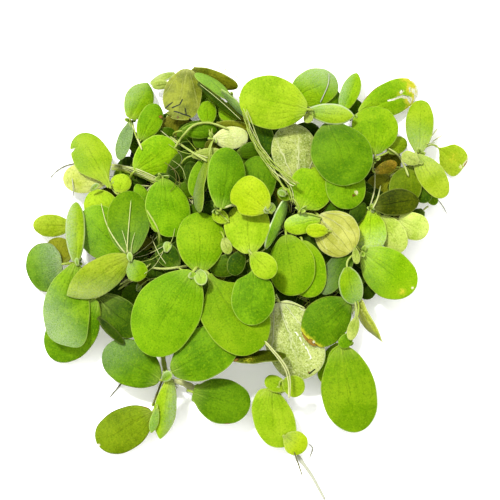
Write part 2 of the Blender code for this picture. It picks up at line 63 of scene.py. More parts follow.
# a plain blade, the heap of leaves, and how a blade is laid on it, as in the part's source
BLADE_THICKNESS = 0.9
BLADE_GAP = 0.34
BLADE_ARCH = 0.05
BLADE_DROOP = 0.14
BLADE_EGG = -0.08
BLADE_FULLNESS = 1.6
BLADE_ROWS = 8
BLADE_COLUMNS = (-1.0, -0.5, 0.0, 0.5, 1.0)
HEAP_HEIGHT = 13.0
HEAP_HALF_WIDTH = 74.0
HEAP_HALF_DEPTH = 66.0
HEAP_EDGE = 1.6
BASE_RISE = 1.2
PITCH_TRIALS = (0.0, 5.0, -5.0, 10.0, -10.0)
ROLL_TRIALS = (0.0, 6.0, -6.0, 12.0, -12.0)
TURN_COST = 0.07
LIFT_STEP = 0.25
FLOOR_GAP = 0.02

# rows and columns of a leaf, of a leaflet, and of a young or deep leaf, and how many times finer
# a blade with lines or with spots is
LEAF_GRID = (40, 26)
LEAFLET_GRID = (26, 18)
ROUGH_GRID = (14, 8)
LINE_FINER = 3
SPOT_FINER = 2

# the shape of a fine blade. Its neck is a half width and a reach, its dents are a height, a size
# and two numbers for their seed, and its ribs and crease have a height above and one beneath.
FINE_THICKNESS = 0.5
TAPER = (1.2, 1.0)
NECK = (0.45, 0.05)
BEND = 0.035
DENTS = ((0.3, 6.5, 3.7, 0), (0.16, 2.6, 5.1, 40))
FAN_START = 0.12
RIBS = 15.0
RIB_HEIGHTS = (0.04, 0.1)
CREASE_HEIGHTS = (-0.3, 0.25)
CREASE_WIDTH = 0.6

# how much painted velvet sheen a usual leaf has, on the side towards the light, and how far lines
# reach beside them
PAINTED_SHEEN = (0.02, (-0.6, 0.8))
GLARE_REACH = 0.17
TEAR_SHADE_REACH = 0.2
SLIT_EDGE = 0.15

# stalks: how far their crown may be, points, sides and flatness, and their drop in the tangle
STALK_REACH = 7.5
STALK_POINTS = 12
STALK_SIDES = 8
STALK_FLAT = 0.7
STALK_PALE = (0.3, 0.5)
LOOSE_DROP = (3.0, 6.0)

# crowns, strands and stems
CROWN_REACH = 5.0
CROWN_DROP = 0.8
YOUNG_LEAVES = 3
YOUNG_LENGTH = (1.6, 3.0)
STRAND_STEP = 0.6
STRAND_GAP = 0.12
STRAND_SIDES = 7
BUNDLE_SIDES = 8
STEM_RINGS = 14
STEM_SIDES = 14
STEM_ROOTS = 22
STEM_ROOT_POINTS = 9
STEM_ROOT_SIDES = 5

# the roots: the mat's middle and half size, and what roots keep to the floor and to the leaves
MAT_CENTRE = (0.0, 12.0)
MAT_HALF = (43.0, 35.0)
ROOT_FLOOR = 0.12
ROOM_GAP = 0.25
ROOT_SIDES = 4
CROWN_ROOTS = 26
CROWN_ROOT_POINTS = 12
CROWN_ROOT_REACH = (1.5, 6.5)
CROWN_ROOT_RADIUS = (0.07, 0.14)
MAT_FLAT = 0.4

# gaps between the leaves: tries to find them, where, and how far apart for leaves and for stems
GAP_TRIES = 9000
GAP_ACROSS = (-45, 45)
GAP_UP = (-26, 48)
LEAF_GAPS = 3.2
STEM_GAPS = 2.6

# the leaves tucked into them: tries for each, half length, sizes to try, the heights to try and
# their step, and their clearance
TUCK_TRIES = 6
TUCK_HALF = (3.5, 6.0)
TUCK_SIZES = (1.0, 0.8, 0.62, 0.48)
TUCK_HEIGHTS = 30
TUCK_STEP = 0.4
TUCK_GAP = 0.12

# the stems that cross them: how many for each, length, points, sides and radius, and the points
# of a deep leaf's stalk
DEEP_STEMS = 4
DEEP_STEM_LENGTH = (6.0, 14.0)
DEEP_STEM_POINTS = 14
DEEP_STEM_SIDES = 6
DEEP_STEM_RADIUS = (0.09, 0.27)
DEEP_STALK_POINTS = 8

# a full turn, rounded up, a height above all, and how far before a point a leaf has to be to
# cover it
FULL_TURN = 6.3
ABOVE_ALL = 60.0
SEEN_WITHIN = 0.2

SEEDS = {
    "stalks": 11, "young_leaves": 5, "ribbons": 3, "strands": 23, "stray_roots": 31,
    "crown_roots": 77, "gaps": 9, "leaves_deep": 41, "stems_deep": 57,
}
YOUNG_SEED = 300
BUD_SEED = 400
DEEP_SEED = 500

# light: how bright a white surface shows, the sky's strength, the sun's strength, spread and
# direction, the floor's half size in metres and its glow, painted light that lifts the shadows on
# it, and how deep light goes into a leaf
LIGHT = 2.68
FILL = 1.52
KEY = 5.15
KEY_SPREAD = 9.0
KEY_FROM = (-0.42, 0.36, 1.0)
FLOOR_REACH = 3.0
FLOOR_PAINTED_GLOW = 0.12
SCATTER_DEPTH = 0.0008

# tints of the leaves' upper side: (deeper, lighter), as seen on a screen
TINTS = {
    "sunlit": ((186, 224, 10), (212, 242, 36)), "glow": ((198, 214, 78), (232, 240, 136)),
    "yellow": ((158, 204, 18), (190, 226, 42)), "fresh": ((134, 188, 4), (164, 210, 22)),
    "mid": ((112, 168, 2), (142, 194, 16)), "deep": ((92, 144, 2), (124, 176, 14)),
    "shaded": ((54, 94, 2), (92, 132, 10)), "dark": ((58, 74, 2), (98, 116, 8)),
    "olive": ((112, 124, 6), (160, 168, 32)), "pale": ((176, 204, 66), (216, 234, 116)),
    "cream": ((226, 240, 134), (246, 252, 180)), "frosted": ((108, 160, 10), (146, 194, 30)),
    "blue": ((92, 142, 16), (130, 178, 42)), "brown": ((96, 90, 12), (158, 130, 34)),
    "moss": ((120, 126, 12), (158, 158, 44)), "dull": ((120, 152, 6), (146, 178, 22)),
    "young": ((150, 200, 36), (196, 230, 92)), "warm": ((162, 195, 22), (195, 221, 56)),
}
# tints of their underside
UNDERSIDES = {
    "khaki": ((160, 182, 62), (208, 222, 104)), "straw": ((192, 198, 54), (230, 234, 106)),
    "sage": ((172, 192, 78), (214, 228, 126)), "back": ((172, 192, 80), (208, 222, 126)),
    "olive_under": ((130, 144, 10), (180, 192, 34)),
}
# material slots of the tints that aren't plain green
SLOTS = {
    "pale": "leaf_pale", "cream": "leaf_pale", "glow": "leaf_pale", "shaded": "leaf_dark",
    "dark": "leaf_dark", "olive": "leaf_dark", "brown": "leaf_dark",
}
# spots and lines on a leaf: edge and softness of the mark, and its tints at its edge and within
MARKS = {
    "yellow": (0.25, 0.5, (190, 208, 38), (228, 224, 60)),
    "bleach": (0.34, 0.26, (240, 236, 150), (252, 252, 222)),
    # a painted glare line: a painted highlight
    "streak": (0.3, 0.2, (236, 242, 206), (255, 255, 244)),
    "burn": (0.42, 0.2, (92, 60, 20), (186, 146, 60)),
    # tears painted near-black: the painted shade seen through them
    "tear": (0.36, 0.12, (10, 18, 2), (34, 48, 4)),
}

STEMS = ("stem_west", "stem_far_east", "stem_south_west", "stem_south_east")

# Runners and the long root, as strands that wind about their solid's middle line. out: how far
# they are from it, thick: their thickness, sway and lift: how far they waver and lie above it, all
# as shares of the solid's radius. The two ranges of shares make one strand unlike the next.
BUNDLES = {
    "runner_north_strands": {
        "node": "runner_north", "rings": 11, "strands": 9, "out": 1.9, "out_shares": (0.7, 1.15),
        "thick": 0.16, "thick_shares": (0.7, 1.25), "sway": 0.3, "lift": 0, "pale": (0.2, 0.95),
        "places": ((-1.2, 41.4), (2.4, 32.4), (8.4, 23.4), (12.6, 18)),
    },
    "runner_south_strand": {
        "node": "runner_south", "rings": 11, "strands": 4, "out": 0.6, "out_shares": (1, 1),
        "thick": 0.4, "thick_shares": (0.7, 1.25), "sway": 0.08, "lift": 0, "pale": (0.8, 1),
        "places": ((5.4, -28.5), (10.2, -34.5), (11.7, -39), (11.7, -44.4)),
    },
    "long_root": {
        "node": "root_long", "rings": 8, "strands": 1, "out": 0, "out_shares": (1, 1),
        "thick": 1.3, "thick_shares": (1, 1), "sway": 0.08, "lift": 0.3, "pale": (0.97, 0.99),
        "places": ((14.1, -61.5), (17.4, -66), (20.1, -70.5), (22.5, -75)),
    },
}

# threads of the root mat: how many, steps, radius, wander, height over the mat, seed
THREADS = {
    "root_threads_dark": (300, 34, 0.13, 0.2, 0.7, 1),
    "root_threads_fine": (380, 30, 0.09, 0.3, 1.4, 2),
    "root_hairs": (240, 22, 0.055, 0.45, 2.2, 3),
}

# piece, base and tip in the plan, width, tint and how light it is: a tone that holds the leaf's own
# lightness and painted light and shade too, lifting leaves that lie in shade and darkening those
# that stand for shadow. Those that have a solid are nodes of the frame.
LEAVES = (
    ("east_leaf_low", (44.4, 9.3), (53.4, 5.1), 8.4, "pale", 1.5),
    ("east_leaflet_pale", (39.3, 10.2), (45.6, -0.6), 8.1, "pale", 1.28),
    ("west_leaf_low", (-53.4, 7.2), (-65.1, 7.5), 6.9, "warm", 1),
    ("upper_west_leaf_pale", (-43.2, 20.7), (-56.1, 21.6), 9, "glow", 1.2),
    ("west_leaflet_bright", (-39.6, 8.4), (-48.6, 16.8), 10.2, "yellow", 1.08),
    ("west_leaflet_olive", (-54.6, -3.6), (-60, 3), 7.5, "olive", 1),
    ("west_leaflet_shaded", (-45.9, -13.8), (-33.6, -25.2), 10.5, "shaded", 0.97),
    ("west_leaflet_band", (-45.6, -20.1), (-37.8, -28.2), 2.6, "shaded", 0.5),
    ("north_leaflet_shaded", (3.6, 39), (4.8, 28.2), 6.6, "shaded", 1),
    ("centre_leaflet_deep", (-13.5, -7.5), (-13.8, -24), 6, "shaded", 1),
    ("centre_leaflet_dark", (-21.6, -5.1), (-27.3, 1.5), 6.6, "shaded", 1),
    ("centre_leaflet_dull", (-1.5, -3.6), (-12, -6), 6.6, "shaded", 1),
    ("centre_leaflet_dim", (-2.4, -0.3), (-5.4, -7.5), 5.4, "shaded", 1),
    ("far_east_leaflet_dark", (51.3, 19.8), (52.8, 14.1), 5.4, "shaded", 1),
    ("far_east_leaflet_olive", (41.4, 29.4), (46.8, 33), 5.4, "dull", 1.25),
    ("east_leaflet_brown", (37.5, 23.4), (44.1, 26.1), 3.8, "brown", 1.6),
    ("far_east_leaf_outer", (55.8, 31.2), (64.2, 24.9), 6, "warm", 1.22),
    ("north_east_leaf_torn", (32.7, 41.1), (50.1, 49.2), 10.5, "fresh", 1.14),
    ("north_leaf_olive", (-17.1, 54.3), (-3.6, 48.9), 5.7, "olive", 1),
    ("north_leaflet_scrap", (-22.5, 53.1), (-30, 49.8), 3.8, "pale", 1),
    ("north_leaflet_shred", (-24, 49.8), (-29.4, 49.2), 3, "pale", 1),
    ("north_leaflet_hidden", (21.6, 42.6), (26.1, 48), 6.6, "deep", 1),
    ("north_leaf_sheen", (12.6, 45.6), (25.8, 51.6), 12.3, "fresh", 1.1),
    ("north_east_leaf_upright", (27.3, 40.8), (32.1, 53.1), 6.3, "fresh", 1.12),
    ("north_leaflet_left", (-12.6, 37.5), (-12.9, 44.7), 6, "fresh", 1),
    ("north_leaflet_right", (-5.1, 38.4), (-7.8, 44.1), 6.6, "fresh", 1),
    ("north_leaflet_band", (-10.2, 37.8), (0, 36.6), 3.6, "olive", 1),
    ("north_leaflet_dark", (-20.4, 35.7), (-9.9, 36.3), 5.1, "deep", 1),
    ("north_west_leaf_top", (-36.3, 38.7), (-30.3, 51), 9.3, "fresh", 1),
    ("north_west_leaflet_grey", (-36, 38.4), (-39, 27), 5.4, "blue", 1),
    ("north_west_leaflet_nicked", (-32.7, 33), (-27.9, 43.8), 7.5, "mid", 1.12),
    ("south_east_leaf_folded", (32.1, -14.1), (40.2, -27.3), 5.4, "olive_under", 1.5),
    ("south_west_leaf_under", (-46.2, -14.1), (-60, -33), 15, "deep", 1.1),
    ("west_leaf_outer", (-56.1, -4.2), (-67.5, -5.4), 13.8, "blue", 1.08),
    ("far_east_leaf_inner", (48, 25.2), (45.6, 13.5), 9.9, "dull", 0.8),
    ("east_leaf_dark", (37.2, 13.2), (50.7, 15), 8.4, "dark", 0.85),
    ("far_east_leaf_upright", (50.7, 29.1), (51.3, 45), 8.1, "yellow", 0.94),
    ("far_east_leaf_low", (50.1, 28.5), (58.5, 15.9), 8.4, "warm", 1.1),
    ("far_east_leaflet_pale", (50.7, 26.1), (45.6, 28.8), 4.2, "pale", 1),
    ("east_leaf_pale", (36.3, 12), (35.7, -1.2), 9.3, "yellow", 1.28),
    ("north_leaf_turned", (14.4, 19.8), (12.9, 37.5), 14.4, "khaki", 0.98),
    ("centre_leaflet_behind", (3.6, 14.1), (1.8, 28.2), 11.1, "deep", 0.88),
    ("centre_leaflet_veined", (-13.2, 27.9), (-16.8, 15.9), 6.6, "mid", 1),
    ("centre_leaflet_strip", (-17.4, 28.2), (-8.4, 29.4), 3.6, "pale", 1),
    ("centre_leaflet_edge", (-12.3, 28.2), (-15, 11.4), 7, "dull", 0.95),
    ("north_west_leaf_ragged", (-18.9, 54.3), (-21, 39), 12, "olive_under", 0.93),
    ("north_leaflet_strip", (-5.7, 45), (-16.2, 53.1), 6, "mid", 1),
    ("north_leaflet_velvet", (-8.4, 47.7), (-0.3, 39.6), 5, "frosted", 1),
    # a thin dark strip that stands for the shadow under the pale band: painted shade
    ("north_leaflet_shadow", (-15.6, 50.1), (-2.4, 39), 3, "shaded", 0.6),
    ("north_leaflet_cream", (-11.1, 33.3), (-0.6, 33.9), 6.9, "cream", 1.3),
    ("upper_west_leaf_round", (-34.5, 23.7), (-22.5, 32.1), 12.3, "fresh", 1.28),
    ("upper_west_leaflet_strip", (-27.6, 5.4), (-33.9, 19.8), 5.4, "mid", 1),
    ("upper_west_leaflet_bright", (-39.3, 17.1), (-37.8, 22.8), 6.3, "yellow", 1.18),
    ("upper_west_leaf_notched", (-42, 18.9), (-51.3, 34.8), 11.4, "yellow", 0.93),
    ("west_leaf_inner_low", (-36.3, -2.1), (-50.1, 11.1), 15, "mid", 1.12),
    ("west_leaf_inner_top", (-36, -1.2), (-36.6, 17.7), 12.9, "mid", 0.8),
    ("west_leaf_upright", (-52.2, -3.6), (-52.2, 14.4), 6, "yellow", 0.94),
    ("west_leaf_hanging", (-52.2, -4.2), (-58.2, -27.9), 13.8, "frosted", 1.06),
    ("west_leaf_bright", (-36.6, -2.4), (-54.6, -13.5), 10.5, "warm", 0.92),
    ("west_leaflet_round", (-35.7, -3.3), (-32.4, -9), 6.3, "fresh", 1),
    ("centre_west_leaf", (-26.1, 21.9), (-23.1, 3.6), 13.5, "mid", 1.18),
    ("south_leaf_turned", (8.7, -15.6), (17.4, -38.4), 17.1, "sage", 1.22),
    ("south_leaflet_edge", (-5.7, -32.7), (10.8, -31.5), 9, "dark", 1),
    ("south_east_leaf_burnt", (30, -15), (16.8, -27.6), 13.2, "deep", 1),
    ("south_east_leaflet_behind", (28.5, -28.5), (24.6, -36), 6, "fresh", 1),
    ("south_east_leaf_long", (27.6, -28.8), (32.1, -54.9), 16.2, "fresh", 0.9),
    ("south_east_leaflet_low", (30.3, -25.2), (27, -29.1), 3.9, "mid", 1),
    ("south_east_leaflet_pale", (32.1, -20.1), (30, -27), 3.3, "pale", 1),
    ("east_leaflet_velvet", (30.6, 0.6), (21.6, -13.2), 7.8, "blue", 0.64),
    ("east_leaf_turned", (20.4, 10.5), (30.6, -0.6), 13.5, "straw", 1),
    ("centre_east_leaflet", (21, 9.3), (10.2, 6.9), 6.3, "yellow", 1.35),
    ("centre_east_leaf_notched", (14.7, 11.4), (21.3, 24.6), 13.5, "fresh", 1.1),
    ("centre_east_leaf_spotted", (28.8, 27), (28.5, 12.3), 12.3, "mid", 1),
    ("centre_east_leaflet_behind", (15.6, 3), (18.6, -14.4), 11.7, "fresh", 1),
    ("centre_east_leaf_low", (10.8, 4.8), (13.8, -13.8), 13.8, "fresh", 0.92),
    ("centre_east_leaflet_bud", (23.4, 5.7), (16.8, 6), 4.2, "sunlit", 1),
    ("east_leaf_large", (33.9, -0.6), (49.2, -12.3), 14.1, "fresh", 1.22),
    ("east_leaflet_upright", (29.1, -5.1), (31.5, -16.2), 7.2, "fresh", 0.95),
    ("east_leaflet_bud", (31.5, 0.6), (32.1, -4.2), 2.4, "pale", 1),
    ("north_east_leaf_broad", (37.5, 29.4), (37.2, 42.3), 14.4, "fresh", 1),
    ("north_east_leaf_large", (23.1, 39.3), (30.9, 18.9), 18.3, "deep", 0.99),
    ("north_leaf_large", (16.8, 42.3), (-2.7, 46.5), 16.2, "yellow", 1.12),
    ("north_east_leaflet_rim", (17.4, 41.7), (31.2, 40.2), 5.7, "yellow", 1.15),
    ("north_east_leaflet_small", (17.7, 41.4), (17.1, 38.1), 3, "pale", 1),
    ("centre_leaf_upper", (-8.7, 12.6), (-6.3, 30.6), 11.7, "deep", 1.2),
    ("south_leaf_front", (-17.1, -42.6), (0, -47.1), 13.2, "deep", 0.95),
    ("south_west_leaf_round", (-27, -39), (-43.8, -29.7), 13.5, "deep", 1),
    ("south_leaf_broad", (-23.7, -36.6), (-4.2, -25.8), 15, "deep", 1.15),
    ("south_west_leaf_front", (-29.4, -48.6), (-45.9, -58.2), 12.6, "dull", 1),
    ("south_west_leaf_narrow", (-24, -39.3), (-27, -56.7), 6.6, "yellow", 1.04),
    ("south_west_leaflet_slim", (-27.9, -47.7), (-29.7, -54.9), 2.7, "fresh", 1.1),
    ("centre_leaf_south_east", (-12.6, -6.9), (1.8, -30.9), 18.9, "fresh", 0.87),
    ("centre_leaf_south_west", (-17.1, -6.6), (-31.5, -30.9), 19.8, "mid", 1.12),
    ("centre_leaf_north_west", (-15, -6.9), (-15.3, 11.7), 14.4, "fresh", 1),
    ("centre_leaflet_upright", (4.5, 0.6), (11.1, 15), 8, "frosted", 2.3),
    ("centre_leaf_middle", (0, -1.8), (-1.2, 15.3), 13.5, "yellow", 1.08),
    ("centre_leaf_south", (1.2, -4.8), (0.3, -22.8), 12.6, "deep", 1.2),
    ("centre_leaflet_south", (0.6, -1.2), (7.2, -7.8), 7.2, "yellow", 1.1),
    ("centre_leaf_top", (5.1, 12), (-4.2, 19.8), 11.4, "sunlit", 0.94),
    ("front_leaf_long", (6.6, -41.4), (7.2, -59.4), 12.3, "yellow", 1.06),
    ("front_leaflet_left", (10.8, -41.7), (4.5, -38.7), 4.8, "yellow", 1),
    ("front_leaflet_right", (9.9, -39.3), (16.2, -42.3), 6.3, "yellow", 1),
    ("front_leaf_round", (10.5, -55.8), (16.8, -59.7), 7.2, "sunlit", 1),
    ("centre_leaflet_small", (-6.6, 8.4), (-11.1, 11.4), 4.2, "yellow", 1),
    ("centre_leaflet_pale", (-7.8, 3.6), (-6.3, -1.2), 3.3, "pale", 1),
    ("centre_leaflet_tiny", (12.6, 15.6), (8.4, 18), 3.9, "fresh", 1),
)

# What is particular to single leaves. Places run along a leaf from 0 at its base to 1 at its tip
# and across it from -1 to 1. A side is 1 for the left or -1 for the right, and lengths are in mm.
#   roll: how far the leaf is turned about its length, in degrees
#   frost: how much painted velvet sheen, and the side that it is on, in the plan
#   burn, bleach, yellow: spots, as place along, place across, radius and perhaps strength
#   burn_rim, bleach_rim, yellow_rim: the same on the rim, as place, side, span, depth, strength
#   streak, tear: painted glare lines, and tears painted dark with the shade behind them, each through
#       points along and across
#   slit: openings, each a line and its width
#   notch: nicks in the outline, as place, side, depth and width
#   taper: how pointed its base and its tip are; shoulder: where its narrow base ends
#   neck: half width at the base, and how far that reaches; wide: share of its usual width
#   egg: how much wider it is towards its base; bow, sweep, skew: how far its middle, its tip, or
#   its tip and, the other way, its base lie aside; fold: the slope of its halves
#   curl: how far its tip stands up; finer: how many times finer its mesh is
#   brown_rim, pale_rim (a painted sheen on the rim), veins, ribs, grain: how strong each is, beside
#   the usual in PLAIN_LEAF
DETAILS = {
    "upper_west_leaf_notched": {
        "frost": (0.12, (-1, 0.3)), "taper": (1, 0.9), "shoulder": 0.46, "neck": (0.85, 0.3),
        "ribs": 2.2, "notch": [(0.8, 1, 0.3, 0.018)], "bleach_rim": [(0.8, 1, 0.04, 0.5)],
    },
    "upper_west_leaf_pale": {"taper": (1.3, 0.9)},
    "north_west_leaf_top": {"frost": (0.55, (-0.7, 0.7)), "taper": (1, 1.6), "wide": 0.96},
    "north_west_leaflet_nicked": {"burn": [(0.72, -0.8, 0.8)], "notch": [(0.7, -1, 0.2, 0.03)]},
    "north_west_leaflet_grey": {"roll": 35, "frost": (0.7, (0, 0))},
    "north_west_leaf_ragged": {
        "taper": (1, 0.8), "ribs": 0.6, "burn": [(0.96, -0.3, 0.6, 0.7)],
        "notch": [(0.84, -1, 0.22, 0.02), (0.93, -1, 0.3, 0.02), (0.95, 1, 0.2, 0.015)],
        "grain": 0.6,
        "tear": [
            ((0.8, -0.82), (0.7, -0.5)), ((0.8, -0.47), (0.74, -0.1), (0.64, 0)),
            ((0.86, -0.35), (0.9, 0.1), (0.92, 0.5)), ((0.8, 0.2), (0.91, 0.3)),
        ],
    },
    "north_leaf_sheen": {"frost": (0.7, (0.3, 0.9))},
    "north_leaflet_velvet": {"roll": 60, "frost": (0.6, (0, 0))},
    "north_leaflet_strip": {"roll": 48, "frost": (0.25, (0, 0))},
    "north_leaflet_shadow": {"roll": 20, "brown_rim": 1},
    "north_east_leaf_upright": {"frost": (0.55, (-1, 0.2)), "taper": (1.6, 1.25), "wide": 0.95},
    "north_east_leaflet_rim": {
        "frost": (0.75, (-0.2, 0.4)), "taper": (1.1, 1.5), "wide": 1.12, "pale_rim": 1,
    },
    "north_east_leaf_torn": {
        "taper": (1.5, 0.8),
        "bleach_rim": [(0.92, -1, 0.1, 1.5), (0.99, 1, 0.05, 1), (0.98, -1, 0.06, 1.9)],
        "yellow_rim": [(0.94, 1, 0.16, 2.4), (0.9, -1, 0.24, 2.6)],
        "yellow": [(0.88, 0, 2.4), (0.74, -0.6, 1.8, 0.8), (0.66, 0, 1.4, 0.5)],
        "burn_rim": [(0.3, 1, 0.2, 0.25)], "notch": [(0.9, -1, 0.3, 0.015), (0.95, 1, 0.25, 0.012)],
        "finer": 4,
        "slit": [
            (((0.455, -0.06), (0.54, -0.14), (0.62, -0.13)), 0.32),
            (((0.6, -0.13), (0.7, -0.2)), 0.6), (((0.69, -0.2), (0.78, -0.42)), 0.85),
            (((0.78, -0.42), (0.8, -0.66)), 0.5), (((0.69, 0.04), (0.72, 0.1)), 0.8),
            (((0.84, -0.1), (0.87, 0.04)), 0.3),
        ],
        "bleach": [
            (0.9, -0.3, 1), (0.79, -0.72, 1.1, 0.95), (0.86, 0.05, 0.7, 0.8), (0.74, 0.1, 0.7, 0.5),
        ],
    },
    "north_east_leaf_large": {"frost": (0.05, (-0.6, 0.8))},
    "north_leaf_turned": {"grain": 2.4, "ribs": 2.4},
    "north_leaf_olive": {
        "roll": 30, "veins": 1.4, "tear": [((0.25, -0.3), (0.5, -0.2), (0.75, -0.3))],
    },
    "far_east_leaf_outer": {
        "taper": (0.95, 0.55), "egg": -0.3, "shoulder": 0.42, "wide": 1.42,
        "burn_rim": [(0.97, 1, 0.05, 0.5)], "bleach_rim": [(0.95, 1, 0.06, 0.9)], "sweep": -0.6,
        "bleach": [(0.92, -0.3, 0.9, 0.6)], "yellow": [(0.6, 0, 3, 0.42)],
    },
    "far_east_leaf_upright": {"frost": (0.45, (-0.2, -1)), "taper": (1.2, 0.85), "wide": 1.07},
    "far_east_leaf_low": {"frost": (0.3, (-0.2, 0.8)), "taper": (1.3, 1)},
    "east_leaf_dark": {"veins": 2.6, "taper": (1.1, 1.25)},
    "east_leaf_pale": {"frost": (0.6, (0.2, -0.9))},
    "east_leaf_turned": {"veins": 1.7, "grain": 0.6},
    "east_leaf_low": {"ribs": 2.4, "veins": 0.5},
    "east_leaf_large": {
        "yellow": [(0.86, -0.5, 1.7, 0.62)], "bleach": [(0.95, 0.15, 0.4)], "brown_rim": 0.3,
        "ribs": 1.5, "frost": (0.14, (-0.8, 0.3)),
    },
    "centre_east_leaflet": {"frost": (0.4, (-0.2, 1))},
    "east_leaflet_velvet": {"roll": 20, "frost": (0.5, (-1, -0.3))},
    "east_leaflet_upright": {"frost": (0.4, (0.8, -0.6)), "pale_rim": 0.6},
    "centre_east_leaf_spotted": {
        "burn": [(0.72, 0.45, 0.7, 0.7)], "bleach": [(0.66, 0.55, 0.9, 0.6)],
    },
    "centre_east_leaf_notched": {
        "notch": [(0.93, 1, 0.35, 0.04)], "taper": (1.2, 0.9), "shoulder": 0.2, "neck": (0.8, 0.1),
        "ribs": 1.6, "burn_rim": [(0.93, 1, 0.03, 0.4)],
    },
    "centre_leaflet_upright": {"roll": 58, "frost": (0.75, (0.6, 0)), "pale_rim": 1},
    "centre_leaflet_edge": {
        "roll": 65, "frost": (0.55, (-1, 0)),
        "burn": [(0.3, 0.5, 0.2), (0.42, 0.6, 0.22), (0.5, 0.55, 0.25), (0.62, 0.5, 0.2)],
        "bow": -2.2, "finer": 3,
    },
    "north_leaflet_cream": {"veins": 0.3, "ribs": 2, "taper": (1.4, 0.8)},
    "west_leaf_outer": {
        "frost": (0.85, (0.5, 0.2)), "brown_rim": 1, "wide": 1.08, "egg": 0, "taper": (0.95, 0.95),
        "burn_rim": [(0.85, -1, 0.04, 0.5), (0.7, -1, 0.03, 0.4)],
    },
    "west_leaf_hanging": {
        "frost": (0.66, (-0.7, -0.8)), "taper": (1.2, 0.62), "egg": -0.24, "sweep": 3.2,
    },
    "west_leaf_upright": {"frost": (0.7, (-1, 0)), "taper": (1, 1.2), "pale_rim": 0.6},
    "west_leaf_bright": {
        "frost": (0.42, (-0.3, -0.9)), "taper": (1.1, 1.7), "egg": 0, "brown_rim": 0.3,
    },
    "west_leaf_inner_top": {"frost": (0.2, (0.2, -0.6))},
    "west_leaf_inner_low": {"frost": (0.12, (-1, 0)), "veins": 1.4},
    "west_leaflet_round": {"frost": (0.5, (-0.8, 0.2))},
    "west_leaflet_shaded": {"ribs": 3, "veins": 1.5},
    "south_west_leaf_round": {"frost": (0.3, (-0.7, 0.7)), "brown_rim": 0.8},
    "south_west_leaf_front": {
        "bleach": [(0.98, 0.3, 0.5)], "burn_rim": [(0.05, -1, 0.05, 0.5)], "brown_rim": 1,
    },
    "south_west_leaf_narrow": {"frost": (0.65, (1, -0.1)), "taper": (0.9, 1.7), "fold": 0.25},
    "south_west_leaflet_slim": {"frost": (0.4, (0, 0)), "taper": (1, 1.5)},
    "south_leaf_front": {
        "burn_rim": [(0.7, -1, 0.06, 0.4)], "taper": (1.3, 1), "neck": (1.6, 0.05), "ribs": 1.5,
    },
    "south_leaf_turned": {
        "taper": (1, 0.9), "grain": 2.2, "ribs": 1.5, "tear": [((0.93, 0.32), (0.955, 0.1))],
        "burn": [(0.94, 0.2, 0.5, 0.7)],
        "streak": [
            ((0.42, 0.16), (0.47, 0.21)), ((0.5, 0.24), (0.56, 0.25)), ((0.585, 0.26), (0.6, 0.27)),
            ((0.63, 0.3), (0.7, 0.34)), ((0.72, 0.33), (0.78, 0.35), (0.79, 0.29)),
        ],
    },
    "south_leaflet_edge": {
        "roll": -65,
        "burn": [(0.08, -0.5, 1.2, 0.85), (0.36, -0.7, 0.5, 0.6), (0.85, -0.5, 1.2, 0.6)],
        "yellow_rim": [(0.15, 1, 0.2, 0.5, 0.7)], "yellow": [(0.3, -0.5, 2.4, 0.5)],
    },
    "south_east_leaf_burnt": {
        "yellow_rim": [(0.94, 1, 0.11, 2.6, 0.9), (0.98, -1, 0.1, 2.6, 0.85)],
        "burn": [(0.95, 0.25, 0.55, 1.3)], "notch": [(0.93, 1, 0.16, 0.03)], "brown_rim": 0.6,
        "burn_rim": [(0.97, 1, 0.07, 1.3, 1.1), (0.99, -1, 0.045, 1.2, 1)], "finer": 3,
        "bleach": [(0.93, 0.45, 0.6, 0.8)],
    },
    "south_east_leaf_folded": {
        "roll": 45, "fold": 0.5, "taper": (0.95, 2.6), "wide": 1.3, "ribs": 2, "brown_rim": 0.6,
        "bow": -2.4,
    },
    "front_leaf_round": {"frost": (0.25, (-0.8, 0.5))},
    "south_west_leaf_under": {"brown_rim": 0.7},
    "centre_leaf_south_east": {
        "taper": (1.2, 0.95), "shoulder": 0.34, "neck": (1, 0.18), "ribs": 1.3,
        "bleach": [(0.52, 0.2, 0.5, 0.7)],
    },
    "front_leaf_long": {"skew": 1.7, "taper": (1, 0.9)},
    "centre_leaf_south": {"taper": (1.1, 1.1), "shoulder": 0.26, "neck": (0.5, 0.1)},
    "centre_leaf_south_west": {"taper": (1.25, 1.05)},
    "centre_leaf_top": {"notch": [(0.64, 1, 0.16, 0.1)], "taper": (1.2, 0.7)},
    "north_east_leaf_broad": {"taper": (1.4, 0.9)},
    "east_leaflet_brown": {"brown_rim": 1},
    "north_leaflet_scrap": {"roll": 42, "frost": (0.8, (-0.4, 0.6)), "pale_rim": 0.8},
    "north_leaflet_shred": {"veins": 2.6},
    "upper_west_leaflet_strip": {"roll": 20},
}
# what a leaf is where its details don't say otherwise
PLAIN_LEAF = {"brown_rim": 0, "pale_rim": 0, "veins": 1, "ribs": 1, "grain": 1, "tone": 1}

# crowns: the places in the plan where the leaves of a rosette meet
CROWNS = {
    "upper_west": (-42.6, 20.1), "north_west": (-35.7, 38.4), "west_centre": (-36, -2.1),
    "west": (-51.6, -3.9), "centre": (-15, -7.2), "south_west": (-25.2, -37.5),
    "far_south_west": (-28.2, -46.5), "front": (9, -42.6), "front_end": (13.8, -60.6),
    "centre_south": (1.5, -1.5), "centre_top": (5.1, 12), "centre_east": (15, 11.4),
    "north": (17.4, 42), "east": (36.6, 11.7), "far_east": (51, 28.5), "east_low": (33.6, -0.9),
    "south_east_low": (29.1, -28.5), "south": (8.4, -15), "north_strands": (-5.4, 45.9),
    "north_far": (-18, 52.2), "north_inner": (-10.8, 33.3), "north_east": (30.6, 39.6),
    "west_inner": (-26.4, 21.6), "south_east": (31.5, -15), "north_east_inner": (37, 27),
    "centre_north": (-10, 12),
}

